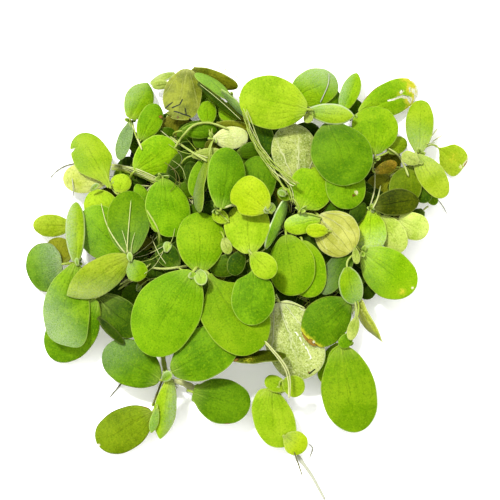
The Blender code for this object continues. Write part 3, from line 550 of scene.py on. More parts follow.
# buds and rolled young leaves in sight: place in the plan, length, width, angle in the plan
BUDS = (
    ((5.7, 12.9), 2.4, 1.6, 60), ((-36, -2.1), 2.8, 1.8, 95), ((-14.8, -8.2), 5, 3.9, 285),
    ((-17.2, -7.4), 3.2, 2.2, 215), ((5.9, 12.4), 3.4, 3, 30), ((-24.9, -37.9), 3.8, 2.9, 40),
    ((-24.9, 0.9), 3, 2.6, 80), ((9.6, 17), 2.6, 2, 150), ((-51.9, -3.6), 2.2, 1.4, 100),
    ((36.9, 12.6), 2.4, 1.5, 80), ((-46.6, 18.9), 3.2, 1.7, 40), ((-33.3, -11.1), 2.7, 1.8, 70),
)
# buds carry painted sheen towards the upper left, where the light comes from
BUD_DETAIL = {"fold": -0.25, "curl": 0.3, "frost": (0.4, (-0.6, 0.8)), "pale_rim": 0.5}
YOUNG_DETAIL = {"fold": -0.5}

# strands in sight: places in the plan, radius at the start and at the end, how pale, and the
# leaf that covers them
STRANDS = (
    (((-29.4, -5.4), (-24.6, -5.6), (-17.5, -4.6)), 0.35, 0.4, 0.6, "centre_leaf_south_west"),
    (((-26.4, -28), (-25.9, -33.4), (-25.2, -37)), 0.7, 0.8, 0.28, "centre_leaf_south_west"),
    (
        ((-23.9, -39), (-20.4, -39.8), (-17.2, -41.4), (-15.2, -43.2)),
        0.55, 1.5, 0.99, "south_leaf_front",
    ),
    (((-26.4, -39), (-27.6, -42.4), (-29.4, -47.1)), 0.3, 0.35, 0.12, None),
    (((-25.8, -39.6), (-26.6, -43), (-28.8, -46.8)), 0.28, 0.3, 0.1, "south_west_leaf_narrow"),
    (((-7.6, 12.7), (-5.4, 13.4), (-3, 13.2)), 0.35, 0.4, 0.8, "centre_leaf_middle"),
    (((-44.7, 14.1), (-42.9, 7.5), (-39.6, 1.8), (-36.6, -1.8)), 0.12, 0.22, 0.8, None),
    (((-35.7, 15), (-36.6, 4.5), (-36.9, -1)), 0.12, 0.2, 0.7, None),
    (((-38.4, 6), (-37.2, 2), (-36.3, -1.8)), 0.08, 0.13, 0.8, None),
    (((-34.5, 5.4), (-35.4, 2), (-35.8, -1.6)), 0.08, 0.13, 0.7, None),
    (((-27.6, 4.2), (-31.5, 0.6), (-35.4, -2)), 0.09, 0.13, 0.8, "centre_leaf_south_west"),
    (((-25.8, 1.2), (-31, -1.4), (-35.4, -2.4)), 0.1, 0.13, 0.9, "centre_leaf_south_west"),
    (((-22.5, 6.6), (-24, 1.8), (-28.8, -2.4), (-33, -3.6)), 0.1, 0.12, 0.5, "centre_leaf_south_west"),
    (((-30, 4.8), (-27.6, -0.6), (-25.2, -4.2)), 0.12, 0.1, 0.95, "centre_leaf_south_west"),
    (((-24.6, 2.4), (-28.2, -4.2), (-31.8, -7.2)), 0.08, 0.1, 0.8, "centre_leaf_south_west"),
    (((-27.6, -8.4), (-30.6, -9), (-34.2, -12)), 0.08, 0.1, 0.5, "centre_leaf_south_west"),
    (((-15, 49.6), (-11.4, 46.8), (-7.2, 43.2), (-2.7, 39)), 0.07, 0.11, 0.8, None),
    (((-27, 36), (-22.5, 32.4), (-17.4, 29.4), (-12.6, 27.6)), 0.14, 0.16, 0.9, None),
    (((-24.6, 31.8), (-20.4, 29.4), (-15, 28.4)), 0.1, 0.1, 0.5, None),
    (((-25.8, 26.4), (-22.8, 24), (-22.2, 20.4), (-24, 17.4)), 0.1, 0.08, 0.05, None),
    (((-24.6, 25.8), (-21.6, 22.8), (-21, 18.6)), 0.09, 0.08, 0.12, None),
    (((-23.4, 27), (-20.4, 24.6), (-19.2, 21)), 0.08, 0.08, 0.6, None),
    (((-19.2, 33.6), (-16.2, 30), (-14.4, 26.4)), 0.12, 0.1, 0.25, None),
    (((-39.6, -12), (-36.6, -9.8), (-34.2, -8.1), (-29.7, -4)), 0.3, 0.3, 0.5, "west_leaflet_round"),
    (((-39.2, -10.6), (-36.4, -8.6), (-33, -5.6)), 0.25, 0.3, 0.6, "west_leaflet_round"),
    (((-22.6, 30.6), (-20.1, 34.2), (-16.8, 37.4), (-12, 38.1), (-6.4, 36.2)), 0.4, 0.35, 0.5, None),
    (((-24, 34), (-19, 30.4), (-12.9, 26.6)), 0.4, 0.3, 0.55, "centre_leaf_upper"),
    (((41.4, 30.6), (44.2, 28.6), (46.2, 25.5), (47.6, 22)), 0.3, 0.35, 0.6, "far_east_leaf_upright"),
    (((-35.4, 37.6), (-34.2, 34.4), (-33, 31.6), (-32.4, 30)), 0.3, 0.3, 0.8, None),
    (((31.5, -15.4), (31.9, -18.2), (31.5, -20.6)), 0.35, 0.35, 0.6, None),
    (((9, -15.6), (12.8, -16), (16.5, -17.4)), 0.25, 0.25, 0.7, "centre_leaf_south_east"),
    (((-26.4, 2.4), (-28, 7), (-31, 12)), 0.2, 0.3, 0.5, "centre_leaf_north_west"),
    (((-22.5, 54), (-18, 55.5), (-13.5, 55.7), (-7.5, 54.2), (-2.7, 51)), 0.14, 0.14, 0.6, None),
    (((54, 33.6), (56.4, 36.6)), 0.2, 0.2, 0.8, None),
    (((54.6, 32.4), (58.2, 34.8)), 0.2, 0.16, 0.9, None),
    (((52.8, 31.8), (55.6, 32.2)), 0.2, 0.2, 0.5, None),
    (((37.4, 24.8), (37.3, 18), (35.8, 12.4)), 0.2, 0.26, 0.85, None),
    (((39.2, 19.4), (38.3, 15.6), (36.8, 12.4)), 0.2, 0.26, 0.7, None),
    (((8.6, 23), (11.6, 18.8), (12.8, 14)), 0.2, 0.16, 0.5, None),
    (((9.6, 22.4), (12.4, 18.6), (13.3, 13.8)), 0.16, 0.14, 0.8, None),
    (((8, 22), (10.9, 18), (12.3, 14.4)), 0.14, 0.12, 0.3, None),
)

# stray roots that reach out of the heap or lie on it, in the same form
STRAY_ROOTS = (
    (((23.7, 53.2), (23.4, 49.6), (21, 44.1)), 0.13, 0.15, 0.99, None),
    (
        ((-50, 26.3), (-55, 25.4), (-58.4, 23.4), (-60.3, 21)),
        0.24, 0.12, 0.8, "upper_west_leaf_notched",
    ),
    (((-53.4, 21.6), (-53, 17), (-54.6, 12)), 0.16, 0.12, 0.95, None),
    (((-36, -37), (-39, -40.5), (-42.6, -44.7)), 0.36, 0.1, 0.56, "south_west_leaf_round"),
    (((13.2, -60.5), (14.6, -64.5), (15.8, -68.1)), 0.23, 0.17, 0.72, None),
    (((17.4, -57.9), (18.8, -59.2), (18.6, -60.6), (17.7, -62.7)), 0.14, 0.11, 0.68, None),
    (((56.4, 15), (57.8, 13.2), (59.1, 10.8)), 0.14, 0.1, 0.72, None),
    (((-22, 30), (-20.4, 27.6), (-21.6, 25), (-24, 24)), 0.1, 0.08, 0.8, None),
)

# flat runners of thin strands side by side: places in the plan, half width, radius, how many,
# and the leaf that covers them
RIBBONS = (
    (((-41.7, 24.9), (-38.4, 24.6), (-33.6, 23.1), (-27.9, 20.7)), 0.85, 0.2, 5, "centre_west_leaf"),
)

# leaves deep in the tangle: base and tip in the plan, width, tint, and how light it is; a tone above 1
# lifts a leaf that lies in shade, as painted light
FILLERS = (
    ((-21.6, 41), (-22, 34.2), 10.5, "moss", 1), ((-14, 41), (-8, 33), 7, "deep", 1),
    ((-12, 46), (-10, 38), 8, "deep", 1), ((-15.6, 47.4), (-11, 42.6), 6, "mid", 1),
    ((-25, 39.6), (-26.4, 34.2), 6, "olive", 1), ((-3, 40), (2, 34), 7, "shaded", 1),
    ((42, 22), (36, 16), 8, "olive", 1), ((44, 30), (40, 22), 7, "olive", 1),
    ((52, 12), (46, 6), 6, "shaded", 1), ((-40, 24), (-36, 17), 6, "mid", 1),
    ((-45.6, -20.4), (-38.4, -27.6), 3, "shaded", 1), ((26, 44), (34, 42), 6, "deep", 1),
    ((40, 46), (34, 40), 6, "mid", 1), ((53.4, 17.4), (55.8, 13.6), 3.4, "mid", 1),
    ((40, 12.4), (47, 8.6), 5.5, "moss", 1), ((27, -28), (22, -40), 7.6, "fresh", 1.45),
)
FILLER_TINTS = ("shaded", "deep", "olive", "mid", "moss", "fresh")
# the tints and tone of those that are laid by chance: mostly the shaded tint, darkened further as
# painted shade in the gaps
CHANCE_TINTS = ("shaded", "shaded", "shaded", "deep", "deep", "olive")
CHANCE_PAINTED_SHADE_TONE = 0.6

# a crown with short stalks and no young leaves, and leaves without a stalk in sight
SHORT_CROWNS = ("north_far",)
STALKLESS = (
    "north_leaflet_shadow", "west_leaflet_band", "north_leaflet_scrap", "north_leaflet_shred",
)


def sight_frame():
    """The eye, and the plan's right and up directions."""
    lean = math.radians(SIGHT_ELEVATION)
    eye = AIM + SIGHT_DISTANCE * Vector((0.0, -math.cos(lean), math.sin(lean)))
    return eye, Vector((1.0, 0.0, 0.0)), Vector((0.0, math.sin(lean), math.cos(lean)))


EYE, PLAN_RIGHT, PLAN_UP = sight_frame()
UP = Vector((0.0, 0.0, 1.0))
DOWN = Vector((0.0, 0.0, -1.0))


def plan_point(place, height):
    """The point at a height above the floor that is seen at a place in the plan."""
    on_plan = AIM + place[0] * PLAN_RIGHT + place[1] * PLAN_UP
    along = (height - EYE.z) / (on_plan.z - EYE.z)
    return EYE + (on_plan - EYE) * along


def plan_place(point):
    """Where in the plan a point is seen."""
    ray = point - EYE
    onward = (AIM - EYE).normalized()
    on_plan = EYE + ray * (SIGHT_DISTANCE / ray.dot(onward)) - AIM
    return Vector((on_plan.dot(PLAN_RIGHT), on_plan.dot(PLAN_UP)))


def to_eye(point):
    """The direction from a point to the eye."""
    return (EYE - point).normalized()


def heap_height(place):
    """How high the heap of leaves nominally is at a place in the plan."""
    fall = (place[0] / HEAP_HALF_WIDTH) ** 2 + (place[1] / HEAP_HALF_DEPTH) ** 2
    return HEAP_EDGE + HEAP_HEIGHT * max(0.0, 1.0 - fall)


def any_angle(rng):
    """A random angle, all the way round."""
    return rng.uniform(0, FULL_TURN)


def direction(angle, *rise):
    """The way that an angle points in the plan or, given a rise, in space."""
    return Vector((math.cos(angle), math.sin(angle), *rise))


def node_solid(node):
    """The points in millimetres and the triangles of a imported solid."""
    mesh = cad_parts[node].data
    mesh.calc_loop_triangles()
    points = [vertex.co / MM for vertex in mesh.vertices]
    return points, [tuple(triangle.vertices) for triangle in mesh.loop_triangles]


MAT = BVHTree.FromPolygons(*node_solid("root_mat"))


def mat_top(x, y):
    """The height of the root mat's top at a place, or None beside it."""
    hit = MAT.ray_cast(Vector((x, y, ABOVE_ALL)), DOWN)
    return hit[0].z if hit[0] else None


class Blade:
    """One leaf blade between its base and its tip, as in the part's source."""

    def __init__(self, base, tip, width, roll, side=None):
        self.base, self.tip = base, tip
        self.width, self.roll, self.side = width, roll, side

    def axes(self):
        """The directions along, across and out of the blade."""
        along = (self.tip - self.base).normalized()
        if self.side:
            return along, self.side, along.cross(self.side)
        side = along.cross(self.centre() - EYE).normalized()
        normal = along.cross(side)
        turn = Matrix.Rotation(math.radians(self.roll), 3, along)
        return along, turn @ side, turn @ normal

    def centre(self):
        return (self.base + self.tip) / 2

    def length(self):
        return (self.tip - self.base).length

    def moved(self, shift):
        return Blade(self.base + shift, self.tip + shift, self.width, self.roll)

    def turned(self, pitch, roll):
        """The same blade with its tip lifted by pitch, and rolled, about its centre."""
        side = self.axes()[1]
        turn = Matrix.Rotation(math.radians(-pitch), 3, side)
        middle = self.centre()
        base = middle + turn @ (self.base - middle)
        tip = middle + turn @ (self.tip - middle)
        return Blade(base, tip, self.width, self.roll + roll)

    def surfaces(self, spare=0.0):
        """Rows of (top, bottom) points from base to tip, grown by a spare clearance."""
        along, side, normal = self.axes()
        length = self.length()
        start = self.base - spare * along
        rows = []
        for step in range(BLADE_ROWS + 1):
            angle = math.pi * step / BLADE_ROWS
            reach = (length + 2 * spare) * (1 - math.cos(angle)) / 2
            swell = math.sin(angle)
            half = (self.width / 2 + spare) * swell * (1 + BLADE_EGG * math.cos(angle))
            row = []
            for column in BLADE_COLUMNS:
                rise = BLADE_ARCH * length * swell**2
                rise -= BLADE_DROOP * self.width / 2 * column**2 * swell
                thick = BLADE_THICKNESS * (1 - column**2) * min(1.0, BLADE_FULLNESS * swell)
                thick = thick / 2 + spare
                middle = start + reach * along + half * column * side
                row.append((middle + (rise + thick) * normal, middle + (rise - thick) * normal))
            rows.append(row)
        return rows

    def solid(self, spare=0.0):
        """Vertices and triangles of the plain blade, closed along its rim and at its ends."""
        rows = self.surfaces(spare)
        points, top, bottom = [], {}, {}
        for r, row in enumerate(rows):
            at_end = r in (0, len(rows) - 1)
            for c, (upper, lower) in enumerate(row):
                if at_end and c > 0:
                    top[r, c], bottom[r, c] = top[r, 0], bottom[r, 0]
                    continue
                shared = at_end or abs(BLADE_COLUMNS[c]) == 1.0
                top[r, c] = bottom[r, c] = len(points)
                points.append((upper + lower) / 2 if shared else upper)
                if not shared:
                    bottom[r, c] = len(points)
                    points.append(lower)
        faces = []
        for r in range(len(rows) - 1):
            for c in range(len(BLADE_COLUMNS) - 1):
                corners = ((r, c), (r + 1, c), (r + 1, c + 1), (r, c + 1))
                for face in ([top[k] for k in corners], [bottom[k] for k in reversed(corners)]):
                    face = [v for i, v in enumerate(face) if v != face[i - 1]]
                    faces += [(face[0], face[i], face[i + 1]) for i in range(1, len(face) - 1)]
        return points, faces


class Heap:
    """All that has been laid down so far, and what a sight line meets first in it."""

    def __init__(self, tree=None):
        self.points, self.faces, self.tree, self.before = [], [], tree, {}

    def add(self, points, faces, name=None):
        """One more solid. What lay there before a named one is kept."""
        start = len(self.points)
        self.points += [p.copy() for p in points]
        self.faces += [tuple(start + v for v in f) for f in faces]
        self.before[name] = self.tree
        self.tree = BVHTree.FromPolygons(self.points, self.faces)

    def as_before(self, name):
        """The heap as it was before a leaf was laid on it."""
        return Heap(self.before[name])

    def lift_for(self, point, spare):
        """How far a point must slide towards the eye to clear the heap by a spare."""
        if self.tree is None:
            return 0.0
        ray = point - EYE
        distance = ray.length
        hit = self.tree.ray_cast(EYE, ray / distance)
        return max(0.0, distance + spare - hit[3]) if hit[0] else 0.0

    def touches(self, points, faces):
        """Whether a solid runs into the heap."""
        return bool(self.tree and BVHTree.FromPolygons(points, faces).overlap(self.tree))

    def room_above(self, x, y, height=0.05):
        """How high it is clear above a point, up to the first leaf."""
        hit = self.tree.ray_cast(Vector((x, y, height)), UP)
        return hit[0].z if hit[0] else math.inf

    def covers(self, point):
        """Whether the eye sees something of the heap in front of a point."""
        ray = point - EYE
        return bool(self.tree.ray_cast(EYE, ray.normalized(), ray.length - SEEN_WITHIN)[0])


def lift_of(blade, heap):
    """How far the whole blade must slide towards the eye, to clear the heap and the floor."""
    lift = 0.0
    for row in blade.surfaces():
        for number, (_, lower) in enumerate(row):
            lift = max(lift, heap.lift_for(lower, BLADE_GAP), FLOOR_GAP - lower.z)
            if number:
                between = (lower + row[number - 1][1]) / 2
                lift = max(lift, heap.lift_for(between, BLADE_GAP))
    return lift


def settle(blade, heap):
    """The blade turned a little and lifted, so that it lies on the heap."""
    best = None
    for pitch in PITCH_TRIALS:
        for roll in ROLL_TRIALS:
            trial = blade.turned(pitch, roll)
            lift = lift_of(trial, heap)
            cost = lift + TURN_COST * (abs(pitch) + abs(roll))
            if best is None or cost < best[0]:
                best = (cost, lift, trial)
    _, lift, blade = best
    towards = to_eye(blade.centre())
    blade = blade.moved(lift * towards)
    while heap.touches(*blade.solid(BLADE_GAP)):
        blade = blade.moved(LIFT_STEP * towards)
    return blade


def drawn_blade(base, tip, width, roll):
    """A leaf as drawn in the plan, at the nominal height of the heap."""
    start = plan_point(base, heap_height(base) + BASE_RISE)
    return Blade(start, plan_point(tip, heap_height(tip)), width, roll)


def measured_blade(points, drawn):
    """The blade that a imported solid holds, read from its outermost points."""
    along, side, _ = drawn.axes()
    base = min(points, key=lambda p: p.dot(along))
    tip = max(points, key=lambda p: p.dot(along))
    along = (tip - base).normalized()
    across = max(points, key=lambda p: p.dot(side)) - min(points, key=lambda p: p.dot(side))
    side = (across - across.dot(along) * along).normalized()
    return Blade(base, tip, drawn.width, drawn.roll, side)


def lay_leaves(heap):
    """Every blade in turn: read from its solid, or settled on the heap. {piece: blade}"""
    blades = {}
    for piece, base, tip, width, _, _ in LEAVES:
        roll = DETAILS.get(piece, {}).get("roll", 0)
        blade = drawn_blade(base, tip, width, roll)
        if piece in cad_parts:
            points, faces = node_solid(piece)
            blade = measured_blade(points, blade)
        else:
            blade = settle(blade, heap)
            points, faces = blade.solid()
        heap.add(points, faces, piece)
        blades[piece] = blade
    return blades


class Form:
    """Points in millimetres, faces and point values of one piece, gathered until it is made."""

    def __init__(self):
        self.points, self.faces, self.slots = [], [], []
        self.count, self.values = 0, {}

    def add(self, points, faces, slots=None, **values):
        """More points with their values, and more faces with their materials' numbers."""
        points = np.asarray(points, float)
        self.points.append(points)
        self.faces += [tuple(self.count + v for v in face) for face in faces]
        self.slots += list(slots) if slots is not None else [0] * len(faces)
        for name, value in values.items():
            shape = (len(points), 3) if np.ndim(value) == 2 else (len(points),)
            self.values.setdefault(name, []).append(np.broadcast_to(value, shape))
        self.count += len(points)

    def make(self, name, materials, slot, replaced=None):
        """The piece itself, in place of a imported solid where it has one."""
        mesh = bpy.data.meshes.new(name)
        mesh.from_pydata((np.concatenate(self.points) * MM).tolist(), [], self.faces)
        for material in materials:
            mesh.materials.append(material)
        mesh.polygons.foreach_set("material_index", self.slots)
        mesh.shade_smooth()
        for key, parts in self.values.items():
            value = np.concatenate(parts).astype(np.float32)
            kind, field = ("FLOAT_VECTOR", "vector") if value.ndim == 2 else ("FLOAT", "value")
            mesh.attributes.new(key, kind, "POINT").data.foreach_set(field, value.ravel())
        piece = bpy.data.objects.new(name, mesh)
        bpy.context.scene.collection.objects.link(piece)
        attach(piece, "root")
        if replaced:
            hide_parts(replaced)


def smoothstep(low, high, value):
    """From 0 to 1 between two values, with soft ends."""
    share = np.clip((value - low) / (high - low), 0.0, 1.0)
    return share * share * (3 - 2 * share)


def noise_field(x, y, scale, seed):
    """Smooth noise over the blade, from -1 to 1."""
    flat = [
        noise.noise(Vector((a / scale, b / scale, seed)))
        for a, b in zip(np.ravel(x), np.ravel(y))
    ]
    return np.array(flat).reshape(np.shape(x))


def fineness(detail):
    """How many times finer than its grid a marked blade is."""
    usual = 1
    if any(kind in detail for kind in ("streak", "tear", "slit")):
        usual = LINE_FINER
    elif any(kind in detail for kind in ("burn", "bleach", "yellow")):
        usual = SPOT_FINER
    return detail.get("finer", usual)


class FineBlade:
    """The points over one blade, in rows from its base to its tip.

    x and y are millimetres across and along the blade, place runs from 0 at the base to 1 at the
    tip, across from -1 to 1, fan is the angle about the base, and rim is how far the edge is.
    """

    def __init__(self, blade, detail, seed, grid):
        self.blade, self.detail, self.seed = blade, detail, seed
        self.rng = random.Random(seed)
        self.length = blade.length()
        finer = fineness(detail)
        self.rows, self.columns = (finer * count for count in grid)
        theta = np.linspace(0.0, math.pi, self.rows + 1)[:, None]
        theta = theta + 0.06 * np.sin(theta * 2)
        across = np.sin(np.linspace(-math.pi / 2, math.pi / 2, self.columns + 1))[None, :]
        left, right = (self.outline(theta, sign) for sign in (1, -1))
        half = np.where(across > 0, left, right)
        self.place = (1 - np.cos(theta)) / 2 + np.zeros_like(across)
        self.swell = np.sin(theta) + np.zeros_like(across)
        self.across = across + np.zeros_like(self.place)
        self.x, self.y = self.swayed(half * across), self.place * self.length
        self.fan = np.arctan2(self.x, self.y + FAN_START * self.length)
        to_side, to_tip = np.abs(half) * (1 - np.abs(across)), (1 - self.place) * self.length
        self.rim = np.minimum(to_side, to_tip)

    def own(self, name, usual=0.0):
        """What is particular to this leaf."""
        return self.detail.get(name, usual)

    def outline(self, theta, sign):
        """Half the blade's width on one side, at each angle from the base round to the tip."""
        place = (1 - np.cos(theta)) / 2
        base_power, tip_power = self.own("taper", TAPER)
        power = base_power + (tip_power - base_power) * smoothstep(0.0, 1.0, place)
        half = self.own("wide", 1.0) * self.blade.width / 2 * np.sin(theta) ** power
        half = half * (1 + self.own("egg", BLADE_EGG) * np.cos(theta))
        if "shoulder" in self.detail:
            half = half * smoothstep(0.0, self.detail["shoulder"], place)
        neck, reach = self.own("neck", NECK)
        half = half + neck * np.exp(-((place / reach) ** 2)) * np.minimum(1.0, 6 * np.sin(theta))
        a, b = any_angle(self.rng), any_angle(self.rng)
        half = half * (1 + 0.016 * np.sin(3 * theta + a) + 0.008 * np.sin(8 * theta + b))
        for where, side, depth, width in self.own("notch", ()):
            if side == sign:
                half = half * (1 - depth * np.exp(-(((place - where) / width) ** 2)))
        return half

    def swayed(self, x):
        """The places across, with the bend of the whole blade."""
        bend = self.blade.width * BEND * self.rng.uniform(-1, 1)
        x = x + (bend + self.own("bow")) * np.sin(math.pi * self.place)
        return x + self.own("skew") * (2 * self.place - 1) + self.own("sweep") * self.place**2

    def relief(self):
        """How high the blade's middle layer is over its plane: arch, dents, ribs and crease."""
        x, place, swell = self.x, self.place, self.swell
        width, under = self.blade.width, int(self.own("under"))
        rise = BLADE_ARCH * self.length * swell**2
        rise = rise - BLADE_DROOP * width / 2 * self.across**2 * swell
        for height, size, step, start in DENTS:
            rise = rise + height * noise_field(x, self.y, size, self.seed * step + start) * swell
        fade = (1 - place) ** 1.4 * smoothstep(0.0, 0.12, place)
        ribs = np.cos(self.fan * RIBS + any_angle(self.rng))
        rise = rise + RIB_HEIGHTS[under] * ribs * fade
        rise = rise + CREASE_HEIGHTS[under] * np.exp(-((x / CREASE_WIDTH) ** 2)) * fade
        rise = rise + self.own("curl") * place**3
        if "fold" in self.detail:
            rise = rise - self.detail["fold"] * (np.abs(x) - width / 4)
        return rise

    def thickness(self):
        """How thick the blade is: thin at its rim, and thicker at its base."""
        thick = FINE_THICKNESS * (1 - self.across**2) ** 0.35
        thick = thick * np.minimum(1.0, 1.5 * self.swell) ** 0.6
        return thick * (1 + 0.9 * np.exp(-self.place / 0.05))

    def line_distance(self, points):
        """How far each point of the blade is from a line through (place, across) points."""
        x, y = self.x, self.y
        nearest = np.full_like(x, 99.0)
        line = [(place * self.length, across * self.blade.width / 2) for place, across in points]
        for (y0, x0), (y1, x1) in zip(line, line[1:]):
            span = (x1 - x0) ** 2 + (y1 - y0) ** 2
            share = np.clip(((x - x0) * (x1 - x0) + (y - y0) * (y1 - y0)) / span, 0, 1)
            away = np.hypot(x - x0 - share * (x1 - x0), y - y0 - share * (y1 - y0))
            nearest = np.minimum(nearest, away)
        return nearest

    def frost(self):
        """How much painted sheen each point has: more towards one side of the plan, or all over."""
        along, side, _ = self.blade.axes()
        amount, towards = self.own("frost", PAINTED_SHEEN)
        plan_side = Vector((side.dot(PLAN_RIGHT), side.dot(PLAN_UP)))
        plan_along = Vector((along.dot(PLAN_RIGHT), along.dot(PLAN_UP)))
        towards = Vector(towards)
        reach = (self.x * plan_side.dot(towards)) / (self.blade.width / 2)
        from_middle = self.y - self.length / 2
        reach = reach + from_middle * plan_along.dot(towards) / (self.length / 2)
        return amount * smoothstep(-0.35, 0.95, reach if towards.length else reach + 0.4)

    def spots(self, kind):
        """How strong a kind of spots is: round ones, and those along the rim."""
        strongest = np.zeros_like(self.x)
        for where, across, radius, *strength in self.own(kind, ()):
            half = self.blade.width * math.sqrt(max(0.0, where * (1 - where)))
            away = np.hypot(self.x - across * half, self.y - where * self.length)
            near = np.exp(-((away / radius) ** 2)) * (strength[0] if strength else 1.0)
            strongest = np.maximum(strongest, near)
        for where, sign, span, depth, *strength in self.own(kind + "_rim", ()):
            near = np.exp(-(((self.place - where) / span) ** 2) - (self.rim / depth) ** 2)
            near = near * (strength[0] if strength else 1.0)
            strongest = np.maximum(strongest, near * smoothstep(-0.4, 0.4, self.x * sign))
        return strongest

    def lines(self, lines):
        """How strong lines are, each of which fades over its own reach."""
        strongest = np.zeros_like(self.x)
        for points, reach in lines:
            near = np.exp(-((self.line_distance(points) / reach) ** 2))
            strongest = np.maximum(strongest, near)
        return strongest

    def marks(self):
        """The values that the leaf materials read."""
        found = {kind: self.spots(kind) for kind in ("burn", "bleach", "yellow")}
        # the glare lines are painted highlights, and the tear lines are painted shade
        for kind, reach in (("streak", GLARE_REACH), ("tear", TEAR_SHADE_REACH)):
            found[kind] = self.lines([(points, reach) for points in self.own(kind, ())])
        slits = [(points, SLIT_EDGE + wide / 2) for points, wide in self.own("slit", ())]
        found["bleach"] = np.maximum(found["bleach"], self.lines(slits))
        for name, usual in PLAIN_LEAF.items():
            found[name] = np.full_like(self.x, self.own(name, usual))
        local = np.stack([self.x, self.y, np.full_like(self.x, self.seed * 7.3)], -1)
        shape = {"place": self.place, "fan": self.fan, "rim": self.rim, "across": self.across}
        return {"local": local, "frost": self.frost(), **shape, **found}

    def kept_cells(self):
        """Which cells of the blade no slit cuts away."""
        keep = np.ones((self.rows, self.columns), bool)
        for line, wide in self.own("slit", ()):
            away = self.line_distance(line)
            middle = (away[:-1, :-1] + away[1:, 1:] + away[:-1, 1:] + away[1:, :-1]) / 4
            keep &= middle > wide / 2
        return keep


def fine_leaf(form, blade, detail, seed, grid):
    """A leaf blade's fine mesh: crowned, creased at its base, fan-ribbed and thin at its rim."""
    fine = FineBlade(blade, detail, seed, grid)
    rise, thick = fine.relief(), fine.thickness()
    along, side, normal = (np.array(axis) for axis in blade.axes())
    middle = np.array(blade.base) + fine.y[..., None] * along + fine.x[..., None] * side
    top = middle + (rise + thick / 2)[..., None] * normal
    bottom = middle + (rise - thick / 2)[..., None] * normal
    add_sheet(form, top, bottom, fine.kept_cells(), **fine.marks())


def add_sheet(form, top, bottom, keep, **values):
    """Top and bottom grids joined along their rims and holes. The ends are single points."""
    rows, columns = keep.shape
    wide = columns + 1
    upper = np.arange((rows + 1) * wide).reshape(rows + 1, wide)
    upper[0, :], upper[-1, :] = upper[0, 0], upper[-1, 0]
    lower = upper + (rows + 1) * wide
    lower[:, 0], lower[:, -1] = upper[:, 0], upper[:, -1]
    lower[0, :], lower[-1, :] = upper[0, 0], upper[-1, 0]
    middle = (top + bottom) / 2
    top[:, 0], top[:, -1] = middle[:, 0], middle[:, -1]
    top[0], top[-1] = middle[0, columns // 2], middle[-1, columns // 2]
    faces, slots = [], []

    def add_face(corners, slot):
        corners = [int(c) for i, c in enumerate(corners) if c != corners[i - 1]]
        if len(set(corners)) > 2:
            faces.append(corners)
            slots.append(slot)

    for r, c in zip(*np.nonzero(keep)):
        ring = ((r, c), (r + 1, c), (r + 1, c + 1), (r, c + 1))
        add_face([upper[k] for k in ring], 0)
        add_face([lower[k] for k in reversed(ring)], 1)
        beside = ((r, c - 1), (r + 1, c), (r, c + 1), (r - 1, c))
        for edge, (nr, nc) in enumerate(beside):
            if 0 <= nr < rows and 0 <= nc < columns and not keep[nr, nc]:
                a, b = ring[edge], ring[(edge + 1) % 4]
                add_face([upper[b], upper[a], lower[a], lower[b]], 0)
    used = sorted({v for face in faces for v in face})
    index = {v: i for i, v in enumerate(used)}
    points = np.concatenate([top.reshape(-1, 3), bottom.reshape(-1, 3)])[used]
    kept = {}
    for key, value in values.items():
        flat = value.reshape(-1, 3) if value.ndim == 3 else value.ravel()
        kept[key] = np.concatenate([flat, flat])[used]
    form.add(points, [[index[v] for v in face] for face in faces], slots, **kept)


def tube(form, centres, radii, sides, flat=1.0, across=None, **values):
    """A closed round or flattened tube. Its rings keep their turn along the way."""
    count = len(centres)
    side = Vector(across) if across else None
    points, share = [], []
    for number, centre in enumerate(centres):
        before, after = centres[max(0, number - 1)], centres[min(count - 1, number + 1)]
        heading = (after - before).normalized()
        if side is None:
            side = heading.cross(UP)
            side = side if side.length > 0.05 else Vector((1.0, 0.0, 0.0))
        side = (side - side.dot(heading) * heading).normalized()
        over = side.cross(heading)
        for corner in range(sides):
            angle = 2 * math.pi * corner / sides
            offset = math.cos(angle) * side + flat * math.sin(angle) * over
            points.append(centre + radii[number] * offset)
            share.append(number / (count - 1))
    faces = []
    for ring in range(count - 1):
        for corner in range(sides):
            a, b = ring * sides + corner, ring * sides + (corner + 1) % sides
            faces.append((a, a + sides, b + sides, b))
    first, last = len(points), len(points) + 1
    points += [centres[0], centres[-1]]
    share += [0.0, 1.0]
    for corner in range(sides):
        after = (corner + 1) % sides
        faces.append((first, corner, after))
        faces.append((last, (count - 1) * sides + after, (count - 1) * sides + corner))
    form.add(points, faces, place=np.array(share), **values)


def bezier(a, b, c, d, count):
    """Points of the curve that leaves a towards b and comes to d from c."""
    route = []
    for number in range(count):
        t = number / (count - 1)
        u = 1 - t
        route.append(u**3 * a + 3 * u * u * t * b + 3 * u * t * t * c + t**3 * d)
    return route


def smooth_route(places, count):
    """Evenly numbered points of a smooth curve through the given ones."""
    ends = [places[0], *places, places[-1]]
    route = []
    for number in range(count):
        where = (len(places) - 1) * number / (count - 1)
        part = min(int(where), len(places) - 2)
        t = where - part
        a, b, c, d = (Vector(p) for p in ends[part : part + 4])
        point = 2 * b + (c - a) * t + (2 * a - 5 * b + 4 * c - d) * t**2
        route.append((point + (3 * b - a - 3 * c + d) * t**3) / 2)
    return route


def rounded(radii):
    """The same radii, drawn in at both ends."""
    last = len(radii) - 1
    return [r * min(1.0, (0.35 + min(i, last - i)) / 1.8) for i, r in enumerate(radii)]


def lay_route(beds, places, radius, count, base_share):
    """A strand's centre line over what it crosses, seen along its route in the plan."""
    route = smooth_route(places, count)
    starts = [plan_point(place, heap_height(place) * base_share) for place in route]
    spare = radius + STRAND_GAP
    lifts = [max(bed.lift_for(start, spare) for bed in beds) for start in starts]
    for _ in range(2):
        lifts = [max(lifts[max(0, i - 1) : i + 2]) for i in range(count)]
    for _ in range(4):
        ends = [lifts[0], *lifts, lifts[-1]]
        lifts = [sum(ends[i : i + 3]) / 3 for i in range(count)]
    return [start + lift * to_eye(start) for start, lift in zip(starts, lifts)]


